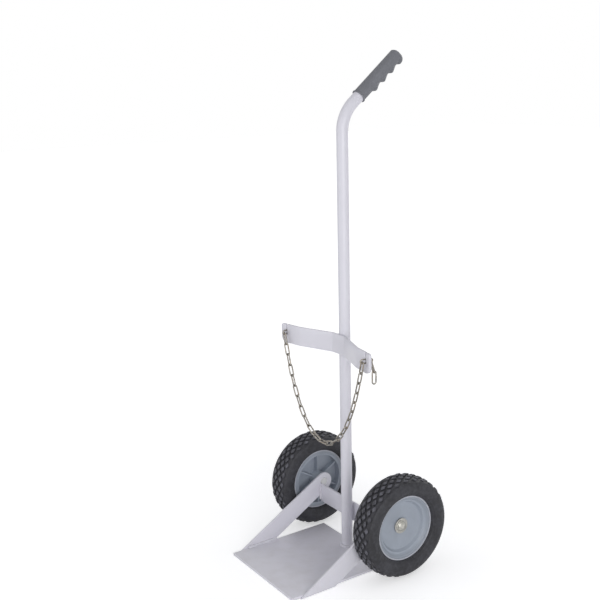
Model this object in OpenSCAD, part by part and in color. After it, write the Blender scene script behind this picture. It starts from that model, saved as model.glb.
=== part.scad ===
// Gas cylinder trolley: one upright tube bent into a handle, a toe plate, a saddle with a
// chain, and two wheels on stub axles. Millimetres, +Z up, +Y to the back, +X to the right.
// The origin is on the floor, under the axis of the load that stands on the toe plate.

/* [Upright tube] */
// Outside diameter of the tube
tube_d = 22.2; // [19:0.1:28]
// Wall of the tube
tube_wall = 2; // [1.2:0.1:3]
// Distance of the tube's axis behind the load axis
tube_y = 128.5; // [122:0.5:132]
// Height at which the tube starts to bend back
bend_z = 823; // [600:1:1000]
// Centre-line radius of the bend
bend_r = 66.6; // [50:0.1:120]
// Angle through which the tube bends back
bend_angle = 50.5; // [20:0.5:80]
// Bare tube between the bend and the grip
neck_len = 17; // [5:1:60]

/* [Hand grip] */
// Length of the grip
grip_len = 121; // [116:1:160]
// Wall of the grip between its ridges
grip_wall = 1.4; // [1:0.1:3]
// Height of the grip's domed end
grip_dome = 7; // [4:0.5:10]
// Solid grip between the tube's end and the dome
grip_end_t = 2; // [1:0.5:6]
// Length of the lip round the grip's mouth
lip_len = 2.5; // [1:0.5:6]
// Height of the lip above the grip
lip_h = 1.2; // [0.5:0.1:3]
// Number of finger ridges under the grip
ridge_count = 4; // [1:1:4]
// Height of a finger ridge
ridge_h = 5.4; // [3:0.1:7]
// Distance from one ridge to the next
ridge_pitch = 24.7; // [18:0.1:26]
// Length of a ridge's steep side
ridge_rise = 8; // [4:0.5:10]
// Distance from the grip's mouth to the foot of the first ridge
ridge_start = 28; // [10:0.5:32]

/* [Toe plate] */
// Width of the toe plate
toe_w = 212; // [180:1:260]
// Thickness of the toe plate
toe_t = 5; // [3:0.5:8]
// Reach of the toe plate in front of the load axis
toe_front = 75; // [60:1:110]
// Plate left behind the tube's foot
toe_tail = 6; // [5:0.5:20]

/* [Braces and cross bar] */
// Width of the flat bar that the braces, cross bar and saddle are cut from
bar_w = 38.1; // [30:0.1:45]
// Thickness of that flat bar
bar_t = 4.8; // [3:0.1:7]
// Where a brace's centre line meets the floor, ahead of the load axis
brace_foot = 20; // [5:1:30]
// Distance of the wheel axis behind the load axis
axle_y = 148; // [145:0.5:160]
// Height of the cross bar's upper edge below the wheel axis
cross_bar_drop = 3; // [0:0.5:8]

/* [Saddle] */
// Height of the saddle's upper edge
saddle_top = 445; // [300:1:700]
// Half width of the saddle's flat middle
saddle_flat = 19; // [14:0.5:30]
// Sideways distance of the bend between wing and ear
saddle_bend_x = 92; // [80:1:105]
// Run of a wing towards the front
saddle_wing_run = 27; // [15:0.5:32]
// Sideways length of an ear
saddle_ear_len = 50; // [42:1:70]
// Run of an ear towards the front
saddle_ear_run = 9; // [4:0.5:14]
// Rounding of an ear's lower corner
ear_low_r = 13; // [4:0.5:16]
// Rounding of an ear's upper corner
ear_top_r = 4; // [1:0.5:8]
// Sideways distance of a chain slot from the bend
slot_from_bend = 36; // [28:0.5:42]
// Depth of a chain slot from the upper edge
slot_depth = 21; // [16:0.5:25]
// Room for the chain's wire across a slot
slot_room = 1.2; // [0.6:0.1:1.6]

/* [Chain] */
// Wire of the chain
link_d = 2.8; // [2.4:0.1:3.2]
// Space inside a link, across
link_in_w = 4.6; // [4.4:0.1:5.4]
// Space inside a link, along
link_in_l = 21.4; // [20:0.1:24]
// Links in the hanging loop
loop_links = 23; // [21:2:27]
// Spare links behind the right ear
tail_links = 2; // [1:1:4]
// Lean of the first spare link away from the ear, in degrees
tail_lean = 16; // [0:1:30]
// Wire of the keeper ring
ring_d = 3; // [2.6:0.1:3.4]
// Space inside the keeper ring
ring_in_d = 18; // [14:0.5:24]

/* [Wheels] */
// Diameter over the tread
wheel_d = 196; // [185:1:210]
// Width of the tyre
tyre_w = 54; // [50:0.5:58]
// Radius of the tread's crown, across the tyre
crown_r = 66; // [56:1:90]
// Distance that the sidewall bulges out past its edge at the rim
sidewall_bulge = 9.5; // [8:0.25:10.5]
// Radius of the rim's flange
flange_r = 63; // [60:0.5:66]
// Depth of the tyre's seat under the flange
seat_depth = 7; // [5:0.5:9]
// Wall of the rim and the hub's web
hub_wall = 4; // [3:0.1:5]
// Thickness of the rim's flanges
flange_t = 3.5; // [3:0.1:4]
// Distance of the rim's edge inside the tyre's side where they meet
rim_inset = 1; // [0.5:0.1:2]
// Width of the bare ring on the rim's outer face
lip_face_w = 7.5; // [5:0.5:8]
// Run of the dish's sloping side, from the bare ring to the dish's floor
dish_run = 8.5; // [6:0.5:11]
// Height of the dish's floor above the wheel's middle plane
dish_z = 4; // [2:0.5:6]
// Height of the centre boss above the wheel's middle plane
boss_z = 2; // [0:0.5:4]
// Wall of the centre boss round its bushes
boss_wall = 5.5; // [4:0.5:8]
// Number of stiffening ribs behind the web
rib_count = 6; // [3:1:10]
// Depth of the ribs' back edge behind the wheel's middle plane
rib_depth = 13; // [8:0.2:14]

/* [Axles and bushes] */
// Diameter of a stub axle
axle_d = 15.9; // [12:0.1:17]
// Chamfer on a stub axle's end
axle_chamfer = 1; // [0.5:0.1:1.5]
// Wall of a bush
bush_wall = 2.6; // [1.5:0.1:4]
// Length of a bush in the boss
bush_len = 11; // [8:0.5:12]
// Thickness of a bush's flange
bush_flange_t = 1.5; // [1:0.1:2.5]
// Width of a bush's flange outside its bush
bush_flange_w = 3; // [2:0.5:5]
// Thickness of a washer
washer_t = 1.6; // [1:0.1:2.5]
// Outside diameter of a washer
washer_d = 30; // [27:0.5:34]
// Depth of a push-on cap over the axle's end
cap_h = 6; // [5:0.5:8]
// Height of the cap's dome
cap_dome = 3; // [2:0.1:4]
// Metal of a push-on cap
cap_wall = 1.2; // [0.8:0.1:2]
// Width of the cap's foot outside its dome
cap_foot = 1.6; // [1:0.1:2.5]

/* [Welds] */
// Leg of a weld bead
weld_leg = 4; // [2:0.5:5]

/* [Clearances] */
// Running room between a bush and its axle, on the radius
run_fit = 0.05; // [0.02:0.01:0.1]
// Room at each end of a wheel's hub
end_play = 0.3; // [0.3:0.1:1]
// Room between links, and round a link in its slot
chain_room = 0.3; // [0.3:0.05:0.5]
// Room left between parts that are welded or pressed together
seat_room = 0.02; // [0.01:0.01:0.05]

/* [Hidden] */
$fn = 64;
// A cut reaches this far past the face that it opens
over = 1;

PAINT = [0.84, 0.835, 0.87];
WELD = [0.78, 0.775, 0.81];
GRIP = [0.48, 0.48, 0.49];
RUBBER = [0.16, 0.16, 0.17];
HUB = [0.56, 0.60, 0.65];
ZINC = [0.62, 0.61, 0.58];
STEEL = [0.70, 0.70, 0.71];
CAP = [0.68, 0.67, 0.63];
NYLON = [0.88, 0.87, 0.82];

// Upright tube and grip
tube_r = tube_d / 2;
grip_r = tube_r + grip_wall;
// Lap of the handle's straight run into the bend, and the small step that it leaves
tube_lap = 1;
tube_step = 0.1;
bend_end = [0, tube_y + bend_r * (1 - cos(bend_angle)), bend_z + bend_r * sin(bend_angle)];
grip_dome_r = (grip_r * grip_r + grip_dome * grip_dome) / (2 * grip_dome);
grip_bore = grip_len - grip_dome - grip_end_t;
// Depth of a ridge's foot under the grip's surface
ridge_sink = 0.3;
// The last ridge ends this far short of the grip's end
ridge_short = 3;
ridge_last = ridge_start + (ridge_count - 1) * ridge_pitch;
end_fall = grip_len - ridge_short - ridge_last - ridge_rise;
end_foot_r = sqrt(pow(grip_dome_r, 2) - pow(grip_dome_r - ridge_short, 2)) - ridge_h - ridge_sink;

// Braces: each runs from the toe plate's edge to the wheel axis
axle_r = axle_d / 2;
axle_z = wheel_d / 2;
brace_in = toe_w / 2;
brace_out = brace_in + bar_t;
brace_angle = atan(axle_z / (axle_y + brace_foot));
cross_bar_y = tube_y + tube_r + seat_room;
cross_bar_top = axle_z - cross_bar_drop;

// Saddle: the middle of the bar's thickness, seen from above
saddle_y = tube_y - tube_r - seat_room - bar_t / 2;
saddle_bend_y = saddle_y - saddle_wing_run;
ear_end = [saddle_bend_x + saddle_ear_len, saddle_bend_y - saddle_ear_run];
saddle_half = [[saddle_flat, saddle_y], [saddle_bend_x, saddle_bend_y], ear_end];
saddle_path = concat([for (i = [2:-1:0]) [-saddle_half[i][0], saddle_half[i][1]]], saddle_half);
ear_angle = atan(saddle_ear_run / saddle_ear_len);
slot_at = [saddle_bend_x + slot_from_bend, saddle_bend_y - slot_from_bend * tan(ear_angle)];
slot_w = link_d + slot_room;
slot_low = saddle_top - slot_depth;

// Chain links
link_r = (link_in_w + link_d) / 2;
link_run = link_in_l - link_in_w;
link_reach = (link_in_l + link_d) / 2;
link_pitch = link_in_l - chain_room;
// Height of the lower leg of a link that lies in a slot, and of the link's own centre
leg_z = slot_low + link_d / 2 + seat_room;
anchor_z = leg_z + link_r;
// Distance from the ear's middle to the wire that hangs in the link's bow
hang_off = link_run / 2;
// Distance between the centres of two wires that hang on each other
hook_gap = link_d + chain_room;
ring_r = (ring_in_d + ring_d) / 2;
ring_hook = (link_d + ring_d) / 2 + chain_room;

// The hanging loop is a catenary between the two links in the slots
function sinh(x) = (exp(x) - exp(-x)) / 2;
function cosh(x) = (exp(x) + exp(-x)) / 2;
function asinh(x) = ln(x + sqrt(x * x + 1));
// Half span over the catenary's parameter, for a given length over span
function slack(ratio, low = 0.01, high = 8, steps = 40) =
    let (mid = (low + high) / 2)
    steps == 0 ? mid :
    sinh(mid) / mid < ratio ? slack(ratio, mid, high, steps - 1) : slack(ratio, low, mid, steps - 1);
loop_len = loop_links * link_pitch + hook_gap;
leg_x = slot_at[0] - hang_off * sin(ear_angle);
loop_y = slot_at[1] - hang_off * cos(ear_angle);
end_slope = atan(sinh(slack(loop_len / (2 * leg_x))));
loop_half = leg_x + hook_gap * cos(end_slope);
loop_top = leg_z + hook_gap * sin(end_slope);
loop_u = slack(loop_len / (2 * loop_half));
loop_a = loop_half / loop_u;
function loop_point(s) =
    let (x = loop_a * asinh(s / loop_a))
    [x, loop_top + loop_a * (cosh(x / loop_a) - cosh(loop_u))];
loop_points = [for (k = [0:loop_links]) loop_point((k - loop_links / 2) * link_pitch)];

// Wheels: heights along the axle from the wheel's middle plane, outwards
half_w = tyre_w / 2;
wheel_x = brace_out + washer_t + end_play + half_w;
wheel_r = wheel_d / 2;
side_span = (wheel_r - flange_r) / 2;
sidewall_r = (side_span * side_span + sidewall_bulge * sidewall_bulge) / (2 * sidewall_bulge);
rim_half = half_w - sidewall_bulge - rim_inset;
flange_in = rim_half - flange_t;
seat_r = flange_r - seat_depth;
rim_in_r = seat_r - hub_wall;
dish_r = flange_r - lip_face_w - dish_run;
bush_in_r = axle_r + run_fit;
bush_r = bush_in_r + bush_wall;
bush_flange_r = bush_r + bush_flange_w;
boss_bore_r = bush_r + seat_room;
boss_r = boss_bore_r + boss_wall;
boss_back = -half_w + bush_flange_t;
outer_washer_z = boss_z + bush_flange_t + end_play;
cap_z = outer_washer_z + washer_t;
cap_r = axle_r + seat_room + cap_wall;
cap_dome_r = (cap_r * cap_r + cap_dome * cap_dome) / (2 * cap_dome);
stub_back = -(wheel_x - brace_in);
stub_end = cap_z + cap_h - cap_dome - end_play;

// Puts a piece on the wheel axis, with its own +Z pointing away from the trolley
module on_axle(side)
    translate([side * wheel_x, axle_y, axle_z]) rotate([0, side * 90, 0]) children();

// Puts a piece on the bent handle, +Z along the grip and +Y on its underside
module on_handle()
    translate(bend_end) rotate([-bend_angle, 0, 0]) children();

// Puts a piece at a slot, +X along the ear and +Y to the back of it
module at_slot(side)
    translate([side * slot_at[0], slot_at[1], 0]) rotate([0, 0, -side * ear_angle]) children();

// Stands a flat outline in the plane of height over depth, extruded sideways
module sideways(x, t)
    translate([x, 0, 0]) rotate([90, 0, 90]) linear_extrude(t) children();

// The tube's section, drawn in by a hair where one run laps into the next
module tube_ring(inset = 0) difference() {
    circle(tube_r - inset);
    circle(tube_r - tube_wall + inset);
}

module main_tube() color(PAINT) {
    translate([0, tube_y, toe_t]) linear_extrude(bend_z - toe_t) tube_ring();
    translate([0, tube_y + bend_r, bend_z]) rotate([90, 0, -90])
        rotate_extrude(angle = bend_angle) translate([bend_r, 0]) tube_ring();
    on_handle() translate([0, 0, -tube_lap])
        linear_extrude(tube_lap + neck_len + grip_bore) tube_ring(tube_step);
}

// A ridge stands out on the underside only, steep towards the mouth and sloping to the end
module finger_ridge(z) translate([0, ridge_h, z]) {
    foot_r = grip_r - ridge_h - ridge_sink;
    last = z == ridge_last;
    cylinder(r1 = foot_r, r2 = grip_r, h = ridge_rise);
    translate([0, 0, ridge_rise])
        cylinder(r1 = grip_r, r2 = last ? end_foot_r : foot_r,
                 h = last ? end_fall : ridge_pitch - ridge_rise);
}

module grip_section() {
    square([grip_r + lip_h, lip_len]);
    square([grip_r, grip_len - grip_dome]);
    intersection() {
        translate([0, grip_len - grip_dome_r]) circle(grip_dome_r);
        square([grip_r, grip_len]);
    }
}

module hand_grip() color(GRIP)
    on_handle() translate([0, 0, neck_len]) difference() {
        union() {
            rotate_extrude() grip_section();
            for (i = [0:ridge_count - 1]) finger_ridge(ridge_start + i * ridge_pitch);
        }
        translate([0, 0, -over]) cylinder(r = tube_r + seat_room, h = grip_bore + over);
    }

module toe_plate() color(PAINT)
    translate([-toe_w / 2, -toe_front, 0])
        cube([toe_w, toe_front + tube_y + tube_r + toe_tail, toe_t]);

// A brace's outline from the side: a flat bar cut level with the floor, round at the axle
module brace_outline() {
    half = bar_w / 2;
    along_floor = half / sin(brace_angle);
    side = half * [sin(brace_angle), -cos(brace_angle)];
    axle = [axle_y, axle_z];
    difference() {
        union() {
            polygon([
                [-brace_foot - along_floor, 0], [-brace_foot + along_floor, 0],
                axle + side, axle - side
            ]);
            translate(axle) circle(half);
        }
        translate(axle) circle(axle_r + seat_room);
    }
}

module brace_right() color(PAINT) sideways(brace_in, bar_t) brace_outline();
module brace_left() color(PAINT) sideways(-brace_out, bar_t) brace_outline();

module cross_bar() color(PAINT)
    translate([-brace_in, cross_bar_y, cross_bar_top - bar_w]) cube([toe_w, bar_t, bar_w]);

// One side of a bent bar: the path moved sideways by off, with mitred corners
function heading(p, q) = (q - p) / norm(q - p);
function bar_side(path, off) = [
    for (i = [0:len(path) - 1])
        let (
            last = len(path) - 1,
            before = heading(path[max(i - 1, 0)], path[max(i, 1)]),
            after = heading(path[min(i, last - 1)], path[min(i + 1, last)]),
            sum = before + after,
            across = [-sum[1], sum[0]]
        )
        path[i] + off * across / (1 + before * after)
];
function reversed(list) = [for (i = [len(list) - 1:-1:0]) list[i]];

// What a rounded corner takes off a bar, in the plane of length over height
module corner_cut(r) rotate([90, 0, 0]) translate([0, 0, -bar_t])
    difference() {
        translate([-r, -r, 0]) cube([r + over, r + over, 2 * bar_t]);
        translate([-r, -r, -over]) cylinder(r = r, h = 2 * bar_t + 2 * over);
    }

module ear_cuts(side) {
    at_slot(side) {
        translate([-slot_w / 2, -bar_t, slot_low + slot_w / 2])
            cube([slot_w, 2 * bar_t, slot_depth]);
        translate([0, bar_t, slot_low + slot_w / 2]) rotate([90, 0, 0])
            cylinder(d = slot_w, h = 2 * bar_t);
    }
    translate([side * ear_end[0], ear_end[1], 0]) rotate([0, 0, -side * ear_angle])
        mirror([side < 0 ? 1 : 0, 0, 0]) {
            translate([0, 0, saddle_top]) corner_cut(ear_top_r);
            translate([0, 0, saddle_top - bar_w]) mirror([0, 0, 1]) corner_cut(ear_low_r);
        }
}

module saddle() color(PAINT)
    difference() {
        translate([0, 0, saddle_top - bar_w]) linear_extrude(bar_w)
            polygon(concat(
                bar_side(saddle_path, bar_t / 2), reversed(bar_side(saddle_path, -bar_t / 2))
            ));
        for (side = [-1, 1]) ear_cuts(side);
    }

module weld_tube_foot() color(WELD)
    translate([0, tube_y, toe_t]) rotate_extrude()
        polygon([[tube_r, 0], [tube_r + weld_leg, 0], [tube_r, weld_leg]]);

// A bead in the nook between the tube and a flat bar that it touches, on one side
module nook_bead(side, height) {
    near = weld_leg / 2;
    far = 2 * weld_leg;
    foot = tube_r + seat_room;
    linear_extrude(height) difference() {
        polygon([[side * near, foot], [side * far, foot], [side * near, foot - far + near]]);
        circle(tube_r);
    }
}

module weld_saddle() color(WELD)
    translate([0, tube_y, saddle_top - bar_w]) rotate([0, 0, 180])
        for (side = [-1, 1]) nook_bead(side, bar_w);

// A three-cornered bead along +Y, in the corner between a floor and a wall on its +X side
module corner_bead(length)
    rotate([-90, 0, 0]) linear_extrude(length) polygon([[0, 0], [-weld_leg, 0], [0, -weld_leg]]);

module weld_cross_bar() color(WELD) {
    translate([0, tube_y, cross_bar_top - bar_w])
        for (side = [-1, 1]) nook_bead(side, bar_w);
    low = axle_z - (axle_y - cross_bar_y) * tan(brace_angle) - bar_w / 2 / cos(brace_angle);
    for (side = [0, 1])
        mirror([side, 0, 0]) translate([brace_in, cross_bar_y, low + weld_leg])
            linear_extrude(cross_bar_top - low - 2 * weld_leg)
                polygon([[0, 0], [-weld_leg, 0], [0, -weld_leg]]);
}

module brace_bead() {
    along_floor = bar_w / 2 / sin(brace_angle);
    front = -brace_foot - along_floor + (toe_t + weld_leg) / tan(brace_angle);
    back = -brace_foot + along_floor + toe_t / tan(brace_angle);
    translate([brace_in, front, toe_t]) corner_bead(back - front);
}

module weld_brace_right() color(WELD) brace_bead();
module weld_brace_left() color(WELD) mirror([1, 0, 0]) brace_bead();

module stub_axle(side) color(STEEL)
    on_axle(side) translate([0, 0, stub_back]) {
        cylinder(r = axle_r, h = stub_end - stub_back - axle_chamfer);
        translate([0, 0, stub_end - stub_back - axle_chamfer])
            cylinder(r1 = axle_r, r2 = axle_r - axle_chamfer, h = axle_chamfer);
    }

module stub_axle_right() stub_axle(1);
module stub_axle_left() stub_axle(-1);

module washer(side, z) color(ZINC)
    on_axle(side) translate([0, 0, z]) difference() {
        cylinder(d = washer_d, h = washer_t);
        translate([0, 0, -over]) cylinder(r = axle_r + run_fit, h = washer_t + 2 * over);
    }

module washer_inner_right() washer(1, -half_w - end_play - washer_t);
module washer_inner_left() washer(-1, -half_w - end_play - washer_t);
module washer_outer_right() washer(1, outer_washer_z);
module washer_outer_left() washer(-1, outer_washer_z);

// The cap's section: a flat foot, a short wall and a dome
module cap_section() difference() {
    union() {
        square([cap_r + cap_foot, cap_wall]);
        square([cap_r, cap_h - cap_dome]);
        intersection() {
            translate([0, cap_h - cap_dome_r]) circle(cap_dome_r);
            square([cap_r, cap_h]);
        }
    }
    square([axle_r + seat_room, cap_h - cap_dome]);
}

module axle_cap(side) color(CAP)
    on_axle(side) translate([0, 0, cap_z]) rotate_extrude() cap_section();

module axle_cap_right() axle_cap(1);
module axle_cap_left() axle_cap(-1);

// The tyre's section, radius over height: a crowned tread, bulging sides and a bead
module tyre_section() {
    bead = flange_in - seat_room;
    foot_r = flange_r + seat_room;
    intersection() {
        translate([wheel_r - crown_r, 0]) circle(crown_r);
        union() {
            for (side = [0, 1]) mirror([0, side]) intersection() {
                translate([flange_r + side_span, half_w - sidewall_r]) circle(sidewall_r);
                translate([foot_r, 0]) square([wheel_r, tyre_w]);
            }
            translate([foot_r, -rim_half]) square([wheel_r, 2 * rim_half]);
        }
    }
    translate([seat_r + seat_room, -bead]) square([seat_depth + over, 2 * bead]);
}

module tyre(side) color(RUBBER)
    on_axle(side) rotate_extrude($fn = 128) tyre_section();

module tyre_right() tyre(1);
module tyre_left() tyre(-1);

module hub_section() {
    web_back = boss_z - hub_wall;
    polygon([
        [boss_bore_r, boss_back], [boss_r, boss_back], [boss_r, web_back], [rim_in_r, web_back],
        [rim_in_r, -rim_half], [flange_r, -rim_half], [flange_r, -flange_in], [seat_r, -flange_in],
        [seat_r, flange_in], [flange_r, flange_in], [flange_r, rim_half],
        [flange_r - lip_face_w, rim_half], [dish_r, dish_z], [boss_r, boss_z], [boss_bore_r, boss_z]
    ]);
}

// Ribs behind the web, from the boss to the rim
module hub_ribs() {
    web_back = boss_z - hub_wall;
    for (i = [0:rib_count - 1])
        rotate([0, 0, i * 360 / rib_count]) translate([boss_r - over, -hub_wall / 2, -rib_depth])
            cube([rim_in_r - boss_r + 2 * over, hub_wall, web_back + rib_depth + over]);
}

module hub(side) color(HUB)
    on_axle(side) {
        rotate_extrude($fn = 128) hub_section();
        hub_ribs();
    }

module hub_right() hub(1);
module hub_left() hub(-1);

// A flanged bush at z, with its bush reaching towards the hub's middle
module bush(side, z, inwards) color(NYLON)
    on_axle(side) translate([0, 0, z]) mirror([0, 0, inwards ? 1 : 0]) difference() {
        union() {
            cylinder(r = bush_r, h = bush_len);
            translate([0, 0, -bush_flange_t]) cylinder(r = bush_flange_r, h = bush_flange_t);
        }
        translate([0, 0, -bush_flange_t - over])
            cylinder(r = bush_in_r, h = bush_len + bush_flange_t + 2 * over);
    }

module bush_inner_right() bush(1, boss_back, false);
module bush_inner_left() bush(-1, boss_back, false);
module bush_outer_right() bush(1, boss_z, true);
module bush_outer_left() bush(-1, boss_z, true);

// A straight oval link, lying flat with its length along +X
module link() {
    for (side = [-1, 1]) {
        translate([-link_run / 2, side * link_r, 0]) rotate([0, 90, 0])
            cylinder(d = link_d, h = link_run);
        translate([side * link_run / 2, 0, 0]) rotate([0, 0, -side * 90])
            rotate_extrude(angle = 180) translate([link_r, 0]) circle(d = link_d);
    }
}

// A link that hangs straight down, its upper bow at the origin, flat or turned edge on
module hanging_link(turned)
    translate([0, 0, -link_reach]) rotate([0, 90, 0]) rotate([turned ? 0 : 90, 0, 0]) link();

// The link that lies through a slot, on edge and square to the ear
module chain_anchor(side) color(ZINC)
    at_slot(side) translate([0, 0, anchor_z]) rotate([0, 0, 90]) rotate([90, 0, 0]) link();

module chain_anchor_right() chain_anchor(1);
module chain_anchor_left() chain_anchor(-1);

module chain_loop() color(ZINC)
    for (i = [0:loop_links - 1]) {
        p = loop_points[i];
        q = loop_points[i + 1];
        mid = (p + q) / 2;
        translate([mid[0], loop_y, mid[1]])
            rotate([0, -atan2(q[1] - p[1], q[0] - p[0]), 0]) rotate([i % 2 == 0 ? 90 : 0, 0, 0])
                link();
    }

// The first spare link leans back, and the others hang straight down from its lower bow
module chain_tail() color(ZINC)
    at_slot(1) translate([0, hang_off, leg_z + hook_gap]) rotate([tail_lean, 0, 0]) {
        hanging_link(false);
        translate([0, 0, -2 * link_reach]) rotate([-tail_lean, 0, 0])
            for (i = [1:1:tail_links - 1])
                translate([0, 0, hook_gap - (i - 1) * link_pitch]) hanging_link(i % 2 == 1);
    }

module keeper_ring() color(ZINC)
    at_slot(-1) translate([0, hang_off, leg_z + ring_hook - ring_r]) rotate([90, 0, 0])
        rotate_extrude() translate([ring_r, 0]) circle(d = ring_d);

main_tube();
hand_grip();
toe_plate();
brace_right();
brace_left();
cross_bar();
saddle();
weld_tube_foot();
weld_saddle();
weld_cross_bar();
weld_brace_right();
weld_brace_left();
stub_axle_right();
stub_axle_left();
washer_inner_right();
washer_inner_left();
washer_outer_right();
washer_outer_left();
axle_cap_right();
axle_cap_left();
tyre_right();
tyre_left();
hub_right();
hub_left();
bush_inner_right();
bush_inner_left();
bush_outer_right();
bush_outer_left();
chain_anchor_right();
chain_anchor_left();
chain_loop();
chain_tail();
keeper_ring();
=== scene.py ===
"""Gas cylinder trolley: a bent tube handle, toe plate, braced wheels, slotted saddle and chain.

Each operator models one piece, or one group of like pieces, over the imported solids.
All sizes are metres, +Z is up, +Y is the back and +X is the right-hand wheel.
"""

import math

import bmesh
import bpy
from bpy.props import FloatProperty, FloatVectorProperty, IntProperty, PointerProperty
from bpy.types import Operator, Panel, PropertyGroup
from mathutils import Matrix, Vector


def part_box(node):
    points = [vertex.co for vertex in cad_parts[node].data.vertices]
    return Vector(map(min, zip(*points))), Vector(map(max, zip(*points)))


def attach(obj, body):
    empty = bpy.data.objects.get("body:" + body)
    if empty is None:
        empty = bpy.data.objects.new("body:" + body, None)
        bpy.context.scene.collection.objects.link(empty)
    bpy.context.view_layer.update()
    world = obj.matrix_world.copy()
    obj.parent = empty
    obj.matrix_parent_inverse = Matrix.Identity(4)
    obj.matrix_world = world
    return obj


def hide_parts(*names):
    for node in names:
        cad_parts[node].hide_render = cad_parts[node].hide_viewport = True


bl_info = {
    "name": "Gas Cylinder Trolley",
    "version": (1, 0, 0),
    "blender": (4, 5, 0),
    "location": "3D View > Sidebar > Trolley",
    "description": "Models a two-wheeled hand trolley over its packed solids",
    "category": "Add Mesh",
}

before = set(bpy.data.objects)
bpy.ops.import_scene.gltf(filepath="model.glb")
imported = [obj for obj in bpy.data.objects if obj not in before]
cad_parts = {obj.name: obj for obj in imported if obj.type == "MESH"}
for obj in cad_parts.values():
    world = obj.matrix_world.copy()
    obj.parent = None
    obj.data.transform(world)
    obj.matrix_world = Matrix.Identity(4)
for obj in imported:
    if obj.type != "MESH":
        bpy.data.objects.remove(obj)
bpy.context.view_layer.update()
MM = 0.001
QUARTER, FULL = math.pi / 2, 2 * math.pi
RIGHT, LEFT = 1, -1
SIDE_NAMES = {RIGHT: "right", LEFT: "left"}

# Points closer than this are one point
SAME_PLACE = 0.002 * MM
# Room between a piece and its seat, and round a turning axle
SEAT_ROOM = 0.02 * MM
TURN_ROOM = 0.05 * MM
# The grip's wall under its dome, and how far the tube stops short of it
GRIP_END = 2 * MM
TUBE_SHORT = 2 * MM
# Edges sharper than this stay sharp on beads and wire, and on the grip, in degrees
BEAD_SHARP, GRIP_SHARP = 60, 50


def node_middle(node):
    """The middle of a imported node's box."""
    low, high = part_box(node)
    return (low + high) / 2


WHEEL_MIDDLE = node_middle("tyre_right")
PLATE_LOW, PLATE_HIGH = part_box("toe_plate")
SADDLE_LOW, SADDLE_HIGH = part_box("saddle")
TUBE_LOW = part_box("main_tube")[0]
CROSS_LOW, CROSS_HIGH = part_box("cross_bar")


def length(name, description, millimetres):
    """A size, given in millimetres and kept in metres."""
    default = millimetres * MM
    return FloatProperty(
        name=name, description=description, default=default, unit="LENGTH", precision=5
    )


def angle(name, description, degrees):
    """An angle, given in degrees."""
    return FloatProperty(
        name=name, description=description, default=math.radians(degrees), subtype="ANGLE"
    )


def colour(name, description, default):
    """A linear colour."""
    return FloatVectorProperty(
        name=name, description=description, default=default, subtype="COLOR", min=0.0, max=1.0
    )


class TrolleyFrameSizes(PropertyGroup):
    """Sizes of the tube, grip, plate, bars and saddle."""

    tube_r: length("Tube radius", "Outside radius of the upright tube", 11.1)
    tube_wall: length("Tube wall", "Wall of the upright tube", 2.0)
    bend_z: length("Bend height", "Height at which the tube starts to bend", 823)
    bend_r: length("Bend radius", "Centre-line radius of the bend", 66.6)
    bend_angle: angle("Bend angle", "Angle through which the tube bends back", 50.5)
    neck: length("Neck", "Bare tube between the bend and the grip", 17)
    grip_length: length("Grip length", "Length of the hand grip", 121)
    grip_wall: length("Grip wall", "Wall of the grip between its ridges", 1.4)
    grip_dome: length("Grip dome", "Height of the grip's domed end", 7)
    lip_length: length("Lip length", "Length of the lip round the grip's mouth", 2.5)
    lip_height: length("Lip height", "Height of that lip", 1.2)
    ridge_count: IntProperty(name="Ridges", description="Finger ridges under the grip", default=4)
    ridge_start: length("First ridge", "From the grip's mouth to the first ridge", 28)
    ridge_pitch: length("Ridge pitch", "From one ridge to the next", 24.7)
    ridge_rise: length("Ridge rise", "Length of a ridge's steep side", 8)
    ridge_height: length("Ridge height", "Height of a finger ridge", 5.4)
    bar_t: length("Bar thickness", "Thickness of the flat bar", 4.8)
    bar_w: length("Bar width", "Width of the flat bar", 38.1)
    edge_r: length("Edge rounding", "Rounding of rolled and cut edges under the paint", 0.7)
    brace_foot: length("Brace foot", "Where a brace meets the floor ahead of the origin", 20)
    saddle_flat: length("Saddle flat", "Half width of the saddle's flat middle", 19)
    saddle_wing_x: length("Saddle wing", "Sideways distance of the bend to the ear", 92)
    saddle_wing_run: length("Wing run", "Run of a wing towards the front", 27)
    saddle_ear_x: length("Ear length", "Sideways length of an ear", 50)
    saddle_ear_run: length("Ear run", "Run of an ear towards the front", 9)
    ear_low_r: length("Ear lower corner", "Rounding of an ear's lower corner", 13)
    ear_top_r: length("Ear upper corner", "Rounding of an ear's upper corner", 4)
    slot_from_bend: length("Slot place", "Sideways distance of a slot from the bend", 36)
    slot_depth: length("Slot depth", "Depth of a chain slot", 21)
    slot_width: length("Slot width", "Width of a chain slot", 4)
    weld_leg: length("Weld leg", "Leg of a weld bead", 4)
    weld_pitch: length("Weld ripple", "Distance from one weld ripple to the next", 2.4)


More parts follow.
